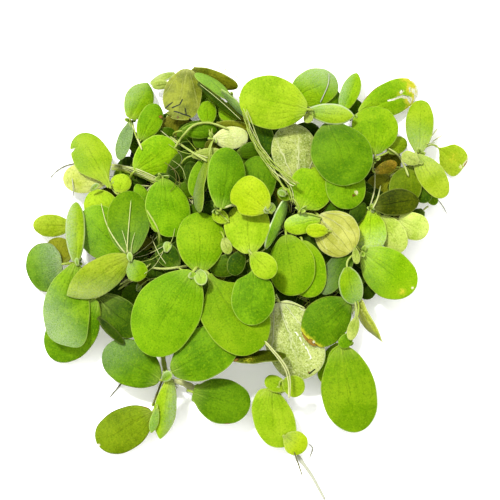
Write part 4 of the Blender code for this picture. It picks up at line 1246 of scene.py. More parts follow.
def crown_points(blades):
    """Where each crown stands: just under the lowest of the leaf bases that meet there."""
    crowns = {}
    for name, place in CROWNS.items():
        near = [
            blade.base.z
            for blade in blades.values()
            if (plan_place(blade.base) - Vector(place)).length < CROWN_REACH
        ]
        height = max(1.2, min(near) - CROWN_DROP) if near else heap_height(place) * 0.5
        crowns[name] = plan_point(place, height)
    return crowns


def make_leaves(blades, uppers, unders):
    """One piece for each leaf of the list, in the place of its solid where it has one."""
    for number, (piece, _, _, _, tint, tone) in enumerate(LEAVES, 1):
        turned = tint in unders
        detail = {**DETAILS.get(piece, {}), "tone": tone, "under": turned}
        materials = [unders[tint], uppers["mid"]] if turned else [uppers[tint], unders["back"]]
        slot = "leaf_underside" if turned else SLOTS.get(tint, "leaf_green")
        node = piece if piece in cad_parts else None
        form = Form()
        fine_leaf(form, blades[piece], detail, number, LEAF_GRID if node else LEAFLET_GRID)
        form.make(piece, materials, slot, node)


def make_stalks(blades, crowns, material):
    """A stalk from each leaf's base down to its crown, or into the tangle where it has none."""
    forms = {name: Form() for name in (*CROWNS, "loose")}
    rng = random.Random(SEEDS["stalks"])
    last = STALK_POINTS - 1
    for piece, blade in blades.items():
        if piece in STALKLESS:
            continue
        along, side, normal = blade.axes()
        place = plan_place(blade.base)
        name = min(CROWNS, key=lambda crown: (Vector(CROWNS[crown]) - place).length)
        short = name in SHORT_CROWNS
        near = (Vector(CROWNS[name]) - place).length < STALK_REACH
        if near and crowns[name].z < blade.base.z + 1.0:
            stray = Vector((rng.uniform(-0.5, 0.5), rng.uniform(-0.5, 0.5), -0.5))
            foot = crowns[name] + stray
        else:
            name = "loose"
            foot = blade.base - 2.5 * along
            foot.x += rng.uniform(-1, 1)
            foot.y += rng.uniform(-1, 1)
            foot.z = max(0.8, blade.base.z - rng.uniform(*LOOSE_DROP))
        start = blade.base + 0.12 * blade.length() * along - 0.15 * normal
        bend = 0.3 if short else max(0.9, 0.4 * (foot - blade.base).length)
        under = foot + 0.6 * bend * UP
        route = bezier(blade.base, blade.base - bend * along, under, foot, STALK_POINTS)
        radius = 0.26 + 0.014 * blade.width
        radii = [radius * (0.8 + 0.3 * (i / last) ** 2) for i in range(STALK_POINTS)]
        route, radii = [start, *route], [0.2 * radius, *radii]
        pale = rng.uniform(*STALK_PALE)
        tube(forms[name], route, radii, STALK_SIDES, STALK_FLAT, side, pale=pale)
    for name, form in forms.items():
        if form.points:
            form.make(f"stalks_{name}", [material], "stem")


def make_young_leaves(crowns, upper, under):
    """Small rolled leaves that stand at each crown."""
    rng = random.Random(SEEDS["young_leaves"])
    form = Form()
    for number, (name, crown) in enumerate(crowns.items()):
        for young in range(0 if name in SHORT_CROWNS else YOUNG_LEAVES):
            lean = direction(any_angle(rng), rng.uniform(0.5, 1.4)).normalized()
            size = rng.uniform(*YOUNG_LENGTH)
            start = crown + 0.2 * UP
            blade = Blade(start, start + size * lean, size * 0.55, rng.uniform(-60, 60))
            seed = YOUNG_SEED + number * 5 + young
            fine_leaf(form, blade, YOUNG_DETAIL, seed, ROUGH_GRID)
    form.make("young_leaves", [upper, under], "leaf_pale")


def make_buds(heap, upper, under):
    """The pale, rolled young leaves that stand out."""
    form = Form()
    for number, (place, size, width, angle) in enumerate(BUDS):
        heading = direction(math.radians(angle))
        ends = []
        for step in (-0.5, 0.5):
            spot = Vector(place) + step * size * heading
            start = plan_point(spot, heap_height(spot) * 0.5)
            lift = heap.lift_for(start, 0.5 + 0.2 * width)
            ends.append(start + lift * to_eye(start))
        level = max(end.z for end in ends)
        ends = [end + (level - end.z) * 0.8 * to_eye(end) for end in ends]
        fine_leaf(form, Blade(*ends, width, 0), BUD_DETAIL, BUD_SEED + number, LEAFLET_GRID)
    form.make("buds", [upper, under], "leaf_pale")


def side_by_side(ribbons):
    """The strands of each flat runner, one beside the other."""
    rng = random.Random(SEEDS["ribbons"])
    strands = []
    for places, half, radius, count, cover in ribbons:
        for number in range(count):
            aside = half * (2 * number / (count - 1) - 1)
            line = []
            for i, place in enumerate(places):
                after, before = places[min(i + 1, len(places) - 1)], places[max(i - 1, 0)]
                heading = (Vector(after) - Vector(before)).normalized()
                stray = aside * rng.uniform(0.8, 1.2)
                line.append(Vector(place) + stray * Vector((-heading.y, heading.x)))
            thick = radius * rng.uniform(0.7, 1.2)
            strands.append((line, thick, thick, rng.uniform(0.3, 0.8), cover))
    return strands


def make_strands(name, strands, heap, deep, material, slot, base_share):
    """Strands laid over what was there before the leaf that covers them, or over it all."""
    form = Form()
    rng = random.Random(SEEDS[name])
    for places, first, last, pale, cover in strands:
        span = sum((Vector(b) - Vector(a)).length for a, b in zip(places, places[1:]))
        count = max(8, int(span / STRAND_STEP))
        bed = heap.as_before(cover) if cover else heap
        centres = lay_route((bed, deep), places, max(first, last), count, base_share)
        radii = [first + (last - first) * i / (count - 1) for i in range(count)]
        radii = [r * (1 + 0.08 * math.sin(1.7 * i + rng.random())) for i, r in enumerate(radii)]
        tube(form, centres, rounded(radii), STRAND_SIDES, pale=pale)
    form.make(name, [material], slot)


def node_line(node, places, count):
    """The centre line of a packed tube, ring by ring, and its radius there."""
    route = smooth_route(places, count)
    rings = [[] for _ in route]
    for point in node_solid(node)[0]:
        seen = plan_place(point)
        rings[min(range(count), key=lambda i: (route[i] - seen).length)].append(point)
    centres = [sum(ring, Vector()) / len(ring) for ring in rings]
    radii = [sum((p - c).length for p in ring) / len(ring) for ring, c in zip(rings, centres)]
    return centres, radii


def make_bundle(name, material):
    """A runner or root made of strands that wind about its solid's centre line."""
    spec = BUNDLES[name]
    centres, radii = node_line(spec["node"], spec["places"], spec["rings"])
    if centres[0].z > 2.0:
        back = (centres[0] - centres[1]).normalized()
        centres.insert(0, centres[0] + 1.4 * back - 0.9 * UP)
        radii.insert(0, radii[0])
    line = smooth_route(centres, 4 * len(centres))
    last = len(line) - 1
    form = Form()
    rng = random.Random(len(name))
    for strand in range(spec["strands"]):
        turn, twist = any_angle(rng), rng.uniform(1.5, 4.5)
        spread, finer = rng.uniform(*spec["out_shares"]), rng.uniform(*spec["thick_shares"])
        route, widths = [], []
        for number, centre in enumerate(line):
            share = number / last
            heading = (line[min(last, number + 1)] - line[max(0, number - 1)]).normalized()
            side = heading.cross(UP).normalized()
            over = side.cross(heading)
            radius = radii[min(len(radii) - 1, int(share * len(radii)))]
            angle = turn + twist * share + 2 * math.pi * strand / spec["strands"]
            aside = math.cos(angle) * side + math.sin(angle) * over
            wobble = spec["sway"] * radius * math.sin((7 + 2 * twist) * share + turn)
            away = radius * (spec["out"] * spread) + wobble
            route.append(centre + away * aside + spec["lift"] * radius * UP)
            widths.append(radius * (finer * spec["thick"]))
        tube(form, route, rounded(widths), BUNDLE_SIDES, pale=rng.uniform(*spec["pale"]))
    form.make(name, [material], "stem", spec["node"])


def thread_route(rng, heap, start, steps, stride, wander, loft):
    """A root that strays over the mat and stays below the leaves above it."""
    heading = rng.uniform(0, 2 * math.pi)
    turn = rng.uniform(-0.12, 0.12)
    x, y = start
    route = []
    height = None
    for number in range(steps):
        turn = 0.85 * turn + rng.gauss(0, wander)
        heading += turn
        x += stride * math.cos(heading)
        y += stride * math.sin(heading)
        ground = mat_top(x, y)
        room = heap.room_above(x, y) - ROOM_GAP
        if ground is None and not heap.covers(Vector((x, y, ROOT_FLOOR))):
            return route
        wanted = (ground or 0.0) + loft * (0.6 + 0.4 * math.sin(number * 0.5))
        wanted = max(ROOT_FLOOR, min(wanted, room))
        height = wanted if height is None else 0.65 * height + 0.35 * wanted
        route.append(Vector((x, y, max(ROOT_FLOOR, min(height, room)))))
    return route


def make_threads(name, heap, material):
    """Many fine roots as one mesh."""
    count, steps, radius, wander, loft, seed = THREADS[name]
    rng = random.Random(seed)
    form = Form()
    while count:
        angle, reach = any_angle(rng), math.sqrt(rng.random())
        x = MAT_CENTRE[0] + MAT_HALF[0] * reach * math.cos(angle)
        y = MAT_CENTRE[1] + MAT_HALF[1] * reach * math.sin(angle)
        if mat_top(x, y) is None:
            continue
        count -= 1
        stride = rng.uniform(0.55, 0.9)
        high = loft * rng.random()
        route = thread_route(rng, heap, (x, y), steps, stride, wander, high)
        thick = radius * rng.uniform(0.7, 1.3)
        last = len(route) - 1
        if last < 3:
            continue
        picked = (*range(0, last, 2), last)
        radii = [thick * (1 - 0.7 * (i / last) ** 2) for i in picked]
        tube(form, [route[i] for i in picked], radii, ROOT_SIDES, pale=rng.random())
    form.make(name, [material], "roots")


def make_crown_roots(crowns, heap, material):
    """Tufts of roots that run from the crowns down to the surface and out under the leaves."""
    rng = random.Random(SEEDS["crown_roots"])
    form = Form()
    last = CROWN_ROOT_POINTS - 1
    for crown in crowns.values():
        below = Vector((crown.x, crown.y, 0.15))
        for _ in range(CROWN_ROOTS):
            out = direction(any_angle(rng), 0.0)
            reach = rng.uniform(*CROWN_ROOT_REACH)
            end = below + reach * out
            while reach > 0.5 and heap.room_above(end.x, end.y) == math.inf:
                reach -= 0.5
                end = below + reach * out
            down = below + reach * 0.4 * out
            route = bezier(crown, crown + 0.5 * out - 0.4 * crown.z * UP, down, end, CROWN_ROOT_POINTS)
            sway = any_angle(rng)
            for i, point in enumerate(route[1:], 1):
                point.x += 0.03 * i * math.sin(1.1 * i + sway)
                point.y += 0.03 * i * math.cos(0.9 * i + sway)
                point.z = max(0.15, point.z)
            thick = rng.uniform(*CROWN_ROOT_RADIUS)
            if any(mat_top(p.x, p.y) is None and not heap.covers(p) for p in route[3:]):
                continue
            radii = [thick * (1 - 0.5 * i / last) for i in range(CROWN_ROOT_POINTS)]
            tube(form, route, radii, ROOT_SIDES, pale=rng.random())
    form.make("crown_roots", [material], "roots")


def make_core(material):
    """The dark heart of the root mat: its solid's form, with lumps."""
    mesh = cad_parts["root_mat"].data.copy()
    piece = bpy.data.objects.new("root_heart", mesh)
    bpy.context.scene.collection.objects.link(piece)
    mesh.materials.clear()
    mesh.materials.append(material)
    weld = piece.modifiers.new("weld", "WELD")
    weld.merge_threshold = 0.00001
    finer = piece.modifiers.new("finer", "SUBSURF")
    finer.subdivision_type = "SIMPLE"
    finer.levels = finer.render_levels = 3
    graph = bpy.context.evaluated_depsgraph_get()
    fine = bpy.data.meshes.new_from_object(piece.evaluated_get(graph))
    piece.modifiers.clear()
    piece.data = fine
    for vertex in fine.vertices:
        point = vertex.co / MM
        if point.z > MAT_FLAT:
            lump = noise.noise(point * 0.45) * 0.5 + noise.noise(point * 1.3) * 0.35
            share = min(1.0, (point.z - MAT_FLAT) / 1.5)
            vertex.co.z += (lump - 0.45) * share * MM
    fine.shade_smooth()
    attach(piece, "root")
    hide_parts("root_mat")


def make_stem(node, material):
    """A short crown stem with leaf scars and a ring of root stubs, in place of its solid."""
    low, high = (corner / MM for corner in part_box(node))
    middle = (low + high) / 2
    tall, radius = high.z - low.z, (high.x - low.x) / 2
    form = Form()
    last = STEM_RINGS - 1
    rings = range(STEM_RINGS)
    centres = [Vector((middle.x, middle.y, low.z + tall * i / last)) for i in rings]
    profile = [
        0.55 + 0.4 * math.sin(math.pi * i / last) + 0.05 * math.sin(2.4 * i) for i in rings
    ]
    tube(form, centres, [radius * part for part in profile], STEM_SIDES, pale=0.5)
    rng = random.Random(len(node))
    for _ in range(STEM_ROOTS):
        out = direction(any_angle(rng), 0.0)
        top = middle + 0.6 * radius * out
        top.z = low.z + tall * rng.uniform(0.15, 0.7)
        end = Vector((middle.x, middle.y, 0.14)) + radius * rng.uniform(0.95, 1.7) * out
        under = end + 0.4 * top.z * UP
        route = bezier(top, top + 0.8 * radius * out, under, end, STEM_ROOT_POINTS)
        for point in route:
            point.z = max(0.13, point.z)
        radii = [0.13 - 0.008 * i for i in range(STEM_ROOT_POINTS)]
        tube(form, route, radii, STEM_ROOT_SIDES, pale=0.2)
    form.make(f"{node}_crown", [material], "stem", node)


def seen_gaps(heap, spacing):
    """Places where the eye sees the root mat between the leaves, spaced apart, and its height."""
    rng = random.Random(SEEDS["gaps"])
    gaps = []
    for _ in range(GAP_TRIES):
        spot = Vector((rng.uniform(*GAP_ACROSS), rng.uniform(*GAP_UP)))
        onward = (plan_point(spot, 0.0) - EYE).normalized()
        hit = MAT.ray_cast(EYE, onward)
        if hit[0] is None or heap.tree.ray_cast(EYE, onward, hit[3])[0]:
            continue
        if all((spot - other[0]).length > spacing for other in gaps):
            gaps.append((spot, hit[0].z))
    return gaps


def own_room(blade, heap):
    """Whether a deep leaf is still below the leaves that hide its base."""
    return blade.centre().z < 2.0 + min(12.0, heap.room_above(*blade.base.xy))


def tuck(base, tip, width, heap, floor):
    """A leaf in the clear room under the heap, at its place in the plan, or None."""
    clear = []
    for step in range(TUCK_HEIGHTS):
        height = floor + 0.5 + TUCK_STEP * step
        blade = Blade(plan_point(base, height), plan_point(tip, height - 0.8), width, 0)
        points, faces = blade.solid(TUCK_GAP)
        own = BVHTree.FromPolygons(points, faces)
        if min(p.z for p in points) < 0.1 or own.overlap(MAT) or own.overlap(heap.tree):
            if clear:
                break
            continue
        if not own_room(blade, heap):
            break
        clear.append(blade)
    return clear[len(clear) // 4] if clear else None


def try_tuck(middle, half, width, heap, must_hide):
    """The largest leaf of that form that fits under the heap with its base hidden, or None."""
    hit = MAT.ray_cast(EYE, (plan_point(middle, 0.0) - EYE).normalized())
    floor = hit[0].z if hit[0] else 0.3
    for size in TUCK_SIZES:
        blade = tuck(middle - size * half, middle + size * half, size * width, heap, floor)
        if blade and (heap.covers(blade.base) or not must_hide):
            return blade
    return None


def tuck_leaves(heap):
    """The leaves deep in the tangle, as (blade, tint, tone), where there is room for them."""
    rng = random.Random(SEEDS["leaves_deep"])
    laid = []
    for base, tip, width, tint, tone in FILLERS:
        middle, half = (Vector(base) + Vector(tip)) / 2, (Vector(tip) - Vector(base)) / 2
        laid.append((try_tuck(middle, half, width, heap, False), tint, tone))
    for spot, _ in seen_gaps(heap, LEAF_GAPS):
        for _ in range(TUCK_TRIES):
            towards = direction(any_angle(rng))
            half = rng.uniform(*TUCK_HALF) * towards
            middle = spot - rng.uniform(0.2, 0.8) * half
            blade = try_tuck(middle, half, half.length * 1.25, heap, True)
            if blade:
                break
        # chance-laid leaves are darkened by their tone: painted shade
        laid.append((blade, rng.choice(CHANCE_TINTS), CHANCE_PAINTED_SHADE_TONE))
        if blade:
            heap.add(*blade.solid())
    return laid


def make_deep_leaves(heap, uppers, back):
    """The leaves deep in the tangle, which show through the gaps; those laid by chance get dark tints,
    darkened further as painted shade. (blades, their heap)
    """
    form, deep = Form(), Heap()
    blades = []
    for number, (blade, tint, tone) in enumerate(tuck_leaves(heap)):
        if blade:
            blades.append(blade)
            deep.add(*blade.solid())
            leaf = Form()
            fine_leaf(leaf, blade, {"tone": tone}, DEEP_SEED + number, ROUGH_GRID)
            uses = (FILLER_TINTS.index(tint), len(FILLER_TINTS))
            values = {key: np.concatenate(value) for key, value in leaf.values.items()}
            form.add(leaf.points[0], leaf.faces, [uses[side] for side in leaf.slots], **values)
    materials = [uppers[tint] for tint in FILLER_TINTS] + [back]
    form.make("leaves_deep", materials, "leaf_dark")
    return blades, deep


def stem_route(rng, heap, here):
    """A stem that crosses a gap under the leaves, over the mat."""
    heading = any_angle(rng)
    length = rng.uniform(*DEEP_STEM_LENGTH)
    turn = rng.uniform(-0.09, 0.09)
    x = here.x - 0.5 * length * math.cos(heading)
    y = here.y - 0.5 * length * math.sin(heading)
    loft = rng.uniform(0.5, 3.2)
    route = []
    for _ in range(DEEP_STEM_POINTS):
        ground = mat_top(x, y) or 0.0
        room = heap.room_above(x, y, max(ground, 0.05) + 0.3) - 0.5
        route.append(Vector((x, y, max(0.35, min(ground + loft, room)))))
        x += length / DEEP_STEM_POINTS * math.cos(heading)
        y += length / DEEP_STEM_POINTS * math.sin(heading)
        heading += turn
    heights = [point.z for point in route]
    for i, point in enumerate(route):
        near = heights[max(0, i - 2) : i + 3]
        point.z = sum(near) / len(near)
    return route


def make_deep_stems(blades, heap, material):
    """Stalks of the deep leaves, and pale stems that cross the gaps under the leaves."""
    form = Form()
    rng = random.Random(SEEDS["stems_deep"])
    for blade in blades:
        along = blade.axes()[0]
        foot = blade.base - 2.2 * along - 1.5 * UP
        foot.z = max(0.6, foot.z)
        start, onward = blade.base + 0.4 * along, blade.base - 0.8 * along
        route = bezier(start, onward, foot, foot, DEEP_STALK_POINTS)
        radii = [0.22 + 0.02 * i for i in range(DEEP_STALK_POINTS)]
        tube(form, route, radii, DEEP_STEM_SIDES, pale=0.3 + 0.3 * rng.random())
    for spot, height in seen_gaps(heap, STEM_GAPS):
        for _ in range(DEEP_STEMS):
            route = stem_route(rng, heap, plan_point(spot, height))
            radii = rounded([rng.uniform(*DEEP_STEM_RADIUS)] * DEEP_STEM_POINTS)
            tube(form, route, radii, DEEP_STEM_SIDES, pale=rng.uniform(0.2, 1.0))
    form.make("stems_deep", [material], "stem")


def linear(screen):
    """The reflectance that shows as this screen colour under the scene's light."""
    parts = ((c / 255 + 0.055) / 1.055 for c in screen)
    return (*(min(0.9, p**2.4 / LIGHT) for p in parts), 1.0)


def between(a, b, share):
    """The screen colour a share of the way from a to b."""
    return tuple((1 - share) * p + share * q for p, q in zip(a, b))


def scaled(screen, share):
    """A screen colour made lighter or darker."""
    return tuple(share * c for c in screen)


def scattering(weight, radius):
    """Light that passes through thin living matter."""
    return {
        "Subsurface_Weight": weight,
        "Subsurface_Radius": radius,
        "Subsurface_Scale": SCATTER_DEPTH,
    }


class Graph:
    """A material's nodes, joined by short calls."""

    def __init__(self, name, **constants):
        self.material = bpy.data.materials.new(name)
        self.material.use_nodes = True
        self.tree = self.material.node_tree
        self.shader = self.tree.nodes["Principled BSDF"]
        for socket, value in constants.items():
            self.shader.inputs[socket.replace("_", " ")].default_value = value

    def put(self, socket, value):
        """A socket's value, or a link to it."""
        if isinstance(value, bpy.types.NodeSocket):
            self.tree.links.new(value, socket)
        else:
            socket.default_value = value

    def node(self, kind, inputs, out=0, **settings):
        """A new node with its inputs and settings, as the output asked for."""
        made = self.tree.nodes.new("ShaderNode" + kind)
        for key, value in settings.items():
            setattr(made, key, value)
        for socket, value in inputs.items():
            self.put(made.inputs[socket], value)
        return made.outputs[out]

    def math(self, operation, a, b=0.0):
        return self.node("Math", {0: a, 1: b}, operation=operation)

    def times(self, a, *others):
        for b in others:
            a = self.math("MULTIPLY", a, b)
        return a

    def plus(self, a, b):
        return self.math("ADD", a, b)

    def largest(self, a, b):
        return self.math("MAXIMUM", a, b)

    def smallest(self, a, b):
        return self.math("MINIMUM", a, b)

    def mix(self, share, a, b):
        inputs = {0: share, 6: a, 7: b}
        return self.node("Mix", inputs, out=2, data_type="RGBA", blend_type="MIX")

    def tints(self, share, a, b):
        """A colour from one screen colour to another."""
        return self.mix(share, linear(a), linear(b))

    def over(self, colour, tint, *shares):
        """The colour with a screen colour over it, by shares that are multiplied."""
        return self.mix(self.times(*shares), colour, linear(tint))

    def attribute(self, name):
        return self.node("Attribute", {}, out="Fac", attribute_name=name)

    def local(self):
        """The place on a leaf in millimetres, across and along it."""
        return self.node("Attribute", {}, out="Vector", attribute_name="local")

    def place_mm(self):
        """The place of a point in millimetres."""
        spot = self.node("TexCoord", {}, out="Object")
        return self.node("VectorMath", {0: spot, "Scale": 1000.0}, operation="SCALE")

    def noise(self, where, scale, detail=2.0, roughness=0.55):
        inputs = {"Vector": where, "Scale": scale, "Detail": detail, "Roughness": roughness}
        return self.node("TexNoise", inputs, out="Fac")

    def smooth(self, value, low, high):
        """From 0 to 1 between two values, with soft ends."""
        inputs = {"Value": value, "From Min": low, "From Max": high}
        return self.node("MapRange", inputs, interpolation_type="SMOOTHSTEP")

    def finish(self, colour, roughness, bumps):
        """The material with its colour, roughness and bumps of (height, depth in mm)."""
        self.put(self.shader.inputs["Base Color"], colour)
        self.put(self.shader.inputs["Roughness"], roughness)
        normal = None
        for height, depth in bumps:
            inputs = {"Height": height, "Distance": depth * MM, "Strength": 1.0}
            if normal:
                inputs["Normal"] = normal
            normal = self.node("Bump", inputs)
        self.put(self.shader.inputs["Normal"], normal)
        return self.material


def marked(graph, colour, local, sheen_tint):
    """The leaf's own colour with painted sheen, spots and lines over it, and scaled by its tone, which
    holds painted light and shade besides the leaf's own lightness.
    """
    grain = graph.noise(local, 1.6, 4.0, 0.7)
    bloom = graph.noise(local, 3.2, 2.0, 0.7)
    # painted velvet sheen: a whitish wash in patches, as strong as the leaf's sheen value
    frost = graph.smooth(bloom, 0.22, 0.68)
    colour = graph.over(colour, sheen_tint, graph.attribute("frost"), frost)
    ragged = graph.plus(graph.times(grain, 1.2), -0.55)
    for name, (edge, soft, at_edge, within) in MARKS.items():
        here = graph.plus(graph.attribute(name), ragged)
        deepest = graph.smooth(here, edge + 0.1, edge + 0.5)
        tint = graph.tints(deepest, at_edge, within)
        colour = graph.mix(graph.smooth(here, edge, edge + soft), colour, tint)
    # the tone scales the colour: the leaf's own lightness and painted light and shade together
    inputs = {0: colour, "Scale": graph.attribute("tone")}
    return graph.node("VectorMath", inputs, operation="SCALE")


def wave_lines(graph, along, count, sway, low):
    """Lines where a wave along one of a leaf's values is high."""
    wave = graph.math("COSINE", graph.plus(graph.times(graph.attribute(along), count), sway))
    return graph.smooth(wave, low, 1.0)


def fan_lines(graph, local, count, low):
    """Lines that fan out from the leaf's base."""
    sway = graph.times(graph.noise(local, 0.35, 1.0), 2.2)
    return wave_lines(graph, "fan", count, sway, low)


def curved_lines(graph, local, count, low):
    """Lines that run from base to tip along the curve of the leaf's sides, broken here and there."""
    sway = graph.times(graph.noise(local, 0.25, 1.0), 2.6)
    whole = graph.largest(graph.plus(graph.attribute("veins"), -1.5), 0.0)
    here = graph.smooth(graph.plus(graph.noise(local, 0.7, 2.0), whole), 0.4, 0.58)
    return graph.times(wave_lines(graph, "across", count, sway, low), here)


def middle_line(graph, local, wide):
    """The line of the midrib, broken here and there."""
    side = graph.node("SeparateXYZ", {0: local}, out="X")
    sway = graph.plus(graph.noise(local, 0.3, 1.0), -0.5)
    near = graph.smooth(graph.math("ABSOLUTE", graph.plus(side, sway)), wide, 0.0)
    return graph.times(near, graph.smooth(graph.noise(local, 0.8, 1.0), 0.36, 0.56))


def upper_material(tint):
    """The upper side of a leaf: grainy, faintly veined, with a thin rim that is a painted pale
    highlight, brown instead on withered leaves.
    """
    scatter = scattering(0.08, (0.5, 1.0, 0.1))
    graph = Graph(f"leaf_{tint}", Specular_IOR_Level=0.015, **scatter)
    deep, light = TINTS[tint]
    darker, pale = scaled(deep, 0.72), between(light, (236, 244, 150), 0.5)
    brighter = (min(255, 0.8 * light[0] + 60), min(255, 0.85 * light[1] + 44), light[2] + 8)
    local, place, rim = graph.local(), graph.attribute("place"), graph.attribute("rim")
    mottle = graph.smooth(graph.noise(local, 0.13, 3.0), 0.34, 0.66)
    colour = graph.tints(mottle, deep, light)
    grain = graph.noise(local, 1.9, 3.0, 0.7)
    grainy = graph.times(graph.attribute("grain"), 0.55)
    colour = graph.over(colour, brighter, graph.smooth(grain, 0.52, 0.7), grainy)
    colour = graph.over(colour, darker, graph.smooth(grain, 0.48, 0.32), grainy)
    to_tip = graph.math("SUBTRACT", 1.0, place)
    fine = graph.times(fan_lines(graph, local, 40.0, 0.3), graph.math("POWER", to_tip, 1.2))
    colour = graph.over(colour, darker, fine, 0.16)
    side_veins = graph.times(curved_lines(graph, local, 21.0, 0.9), 0.5)
    veins = graph.largest(side_veins, middle_line(graph, local, 0.24))
    fading = graph.smooth(to_tip, 0.04, 0.5)
    colour = graph.over(colour, darker, veins, fading, graph.attribute("veins"), 0.6)
    ribbed = graph.smooth(graph.math("DIVIDE", place, graph.attribute("ribs")), 0.2, 0.0)
    coarse = graph.plus(graph.times(fan_lines(graph, local, 11.0, 0.9), 0.6), 0.4)
    colour = graph.over(colour, pale, ribbed, coarse, 0.85)
    # the thin pale band along the rim is a painted highlight; brown_rim turns it to the real brown of
    # a withered edge
    rim_highlight_and_brown = graph.tints(graph.attribute("brown_rim"), pale, (118, 112, 22))
    colour = graph.mix(graph.times(graph.smooth(rim, 0.36, 0.12), 0.58), colour, rim_highlight_and_brown)
    # a whitish painted sheen along the rim, where the leaf's sheen-rim value is set
    sheen_rim = graph.attribute("pale_rim")
    colour = graph.over(colour, (222, 238, 190), graph.smooth(rim, 0.6, 0.2), sheen_rim, 0.66)
    colour = marked(graph, colour, local, (206, 226, 180))
    rough = graph.plus(graph.times(grain, 0.25), 0.36)
    return graph.finish(colour, rough, ((grain, 0.18), (fine, -0.08)))


def under_material(tint):
    """The pale, grainy and ribbed underside, with a painted pale highlight along its rim."""
    scatter = scattering(0.08, (0.6, 0.8, 0.3))
    graph = Graph(f"underside_{tint}", Specular_IOR_Level=0.16, **scatter)
    deep, light = UNDERSIDES[tint]
    darker, white = scaled(deep, 0.7), between(light, (246, 250, 150 + 0.5 * light[2]), 0.6)
    local, place, rim = graph.local(), graph.attribute("place"), graph.attribute("rim")
    mottle = graph.smooth(graph.noise(local, 0.2, 3.0), 0.35, 0.65)
    colour = graph.tints(mottle, deep, light)
    grain = graph.noise(local, 2.0, 4.0, 0.75)
    grainy = graph.smallest(graph.times(graph.attribute("grain"), 0.5), 1.0)
    colour = graph.over(colour, darker, graph.smooth(grain, 0.48, 0.34), grainy)
    colour = graph.over(colour, white, graph.smooth(grain, 0.52, 0.66), grainy)
    veins = curved_lines(graph, local, 17.0, 0.9)
    colour = graph.over(colour, darker, veins, graph.attribute("veins"), 0.36)
    coarse = fan_lines(graph, local, 17.0, 0.9)
    lines = graph.largest(coarse, middle_line(graph, local, 0.4))
    fade = graph.math("POWER", graph.math("SUBTRACT", 1.0, place), 1.5)
    ribbed = graph.smallest(graph.times(fade, graph.attribute("ribs")), 1.0)
    colour = graph.over(colour, white, lines, ribbed)
    colour = graph.over(colour, white, graph.smooth(place, 0.16, 0.0), 0.7)
    # a painted pale highlight along the rim
    colour = graph.over(colour, white, graph.smooth(rim, 0.38, 0.1), 0.5)
    colour = marked(graph, colour, local, (224, 234, 206))
    return graph.finish(colour, 0.5, ((grain, 0.18), (graph.times(coarse, fade), 0.25)))


def stalk_material():
    """Pale, faintly streaked stalks and runners."""
    scatter = scattering(0.12, (0.8, 1.0, 0.3))
    graph = Graph("stalk", Specular_IOR_Level=0.25, **scatter)
    pale = graph.attribute("pale")
    streaks = graph.noise(graph.place_mm(), 1.3, 3.0, 0.6)
    brown = graph.tints(streaks, (92, 84, 14), (146, 136, 40))
    green = graph.tints(streaks, (160, 190, 30), (206, 226, 84))
    white = graph.tints(streaks, (226, 238, 130), (254, 255, 190))
    colour = graph.mix(graph.smooth(pale, 0.05, 0.3), brown, green)
    colour = graph.mix(graph.smooth(pale, 0.35, 0.85), colour, white)
    return graph.finish(colour, 0.45, ((streaks, 0.1),))


def root_material():
    """Fine roots, from nearly black to pale ones."""
    graph = Graph("root", Specular_IOR_Level=0.2)
    pale = graph.attribute("pale")
    grain = graph.noise(graph.place_mm(), 1.8, 3.0, 0.6)
    dark = graph.tints(grain, (26, 30, 6), (66, 66, 20))
    olive = graph.tints(grain, (96, 98, 26), (150, 150, 60))
    white = graph.tints(grain, (206, 210, 176), (236, 238, 214))
    colour = graph.mix(graph.smooth(pale, 0.4, 0.7), dark, olive)
    colour = graph.mix(graph.smooth(pale, 0.75, 0.95), colour, white)
    return graph.finish(colour, 0.6, ((grain, 0.05),))


def heart_material():
    """The matted middle of the roots, near-black: the roots' own dark colour, and painted shade for
    the dark gaps between the leaves as well.
    """
    graph = Graph("root_heart", Specular_IOR_Level=0.1)
    strands = graph.noise(graph.place_mm(), 0.9, 5.0, 0.75)
    colour = graph.tints(graph.smooth(strands, 0.4, 0.7), (14, 18, 3), (52, 62, 14))
    return graph.finish(colour, 0.85, ((strands, 0.5),))


def floor_material():
    """Plain white studio paper that glows a little: painted light that lifts the shadows on it."""
    # the floor's glow is painted light, not a lamp
    glow = {"Emission_Color": (1.0, 1.0, 1.0, 1.0), "Emission_Strength": FLOOR_PAINTED_GLOW}
    graph = Graph("floor", Specular_IOR_Level=0.1, **glow)
    grain = graph.noise(graph.place_mm(), 0.02, 2.0)
    colour = graph.mix(grain, (0.96, 0.96, 0.94, 1.0), (0.94, 0.94, 0.92, 1.0))
    return graph.finish(colour, 0.8, ((grain, 0.01),))


def make_floor():
    """A plain white floor under the part."""
    mesh = bpy.data.meshes.new("floor")
    ways = ((-1, -1), (1, -1), (1, 1), (-1, 1))
    corners = [(FLOOR_REACH * x, FLOOR_REACH * y, 0) for x, y in ways]
    mesh.from_pydata(corners, [], [(0, 1, 2, 3)])
    mesh.materials.append(floor_material())
    floor = bpy.data.objects.new("floor", mesh)
    bpy.context.scene.collection.objects.link(floor)


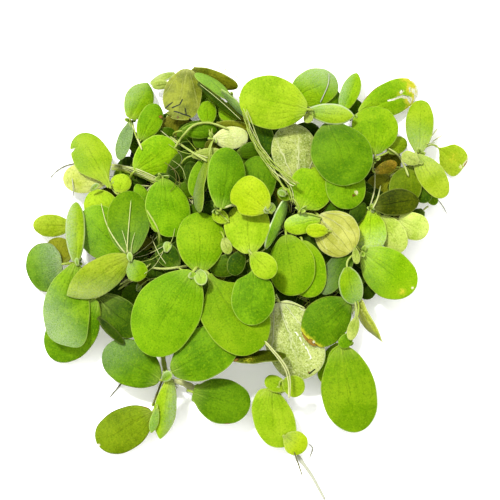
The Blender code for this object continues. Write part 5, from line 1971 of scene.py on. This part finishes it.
def make_lights():
    """Soft light from the upper left of the picture, and a white sky."""
    scene = bpy.context.scene
    world = bpy.data.worlds.new("studio")
    world.use_nodes = True
    sky = world.node_tree.nodes["Background"]
    sky.inputs["Color"].default_value = (1.0, 1.0, 1.0, 1.0)
    sky.inputs["Strength"].default_value = FILL
    scene.world = world
    scene.view_settings.view_transform = "Standard"
    key = bpy.data.lights.new("key", "SUN")
    key.energy = KEY
    key.angle = math.radians(KEY_SPREAD)
    lamp = bpy.data.objects.new("key", key)
    lamp.rotation_euler = Vector(KEY_FROM).to_track_quat("Z", "Y").to_euler()
    scene.collection.objects.link(lamp)


def make_camera():
    """The camera at the photograph's viewing angle."""
    camera = bpy.data.cameras.new("camera")
    camera.sensor_width = SENSOR
    camera.lens = SENSOR * SIGHT_DISTANCE / VIEW_WIDTH
    camera.clip_start = 0.01
    eye = bpy.data.objects.new("camera", camera)
    eye.location = EYE * MM
    eye.rotation_euler = (AIM - EYE).to_track_quat("-Z", "Y").to_euler()
    bpy.context.scene.collection.objects.link(eye)
    bpy.context.scene.camera = eye


def main():
    """Every piece in turn, and then the floor, the light and the camera."""
    heap = Heap()
    blades = lay_leaves(heap)
    crowns = crown_points(blades)
    uppers = {tint: upper_material(tint) for tint in TINTS}
    unders = {tint: under_material(tint) for tint in UNDERSIDES}
    stalk, root = stalk_material(), root_material()
    make_leaves(blades, uppers, unders)
    make_stalks(blades, crowns, stalk)
    make_young_leaves(crowns, uppers["young"], unders["back"])
    make_buds(heap, uppers["young"], unders["back"])
    make_bundle("runner_north_strands", stalk)
    make_bundle("runner_south_strand", stalk)
    make_bundle("long_root", root)
    deep_blades, deep = make_deep_leaves(heap, uppers, unders["back"])
    make_deep_stems(deep_blades, heap, stalk)
    strands = [*STRANDS, *side_by_side(RIBBONS)]
    make_strands("strands", strands, heap, deep, stalk, "stem", 0.5)
    make_strands("stray_roots", STRAY_ROOTS, heap, deep, root, "roots", 0.08)
    make_core(heart_material())
    for name in THREADS:
        make_threads(name, heap, root)
    make_crown_roots(crowns, heap, root)
    for node in STEMS:
        make_stem(node, stalk)
    make_floor()
    make_lights()
    make_camera()


main()
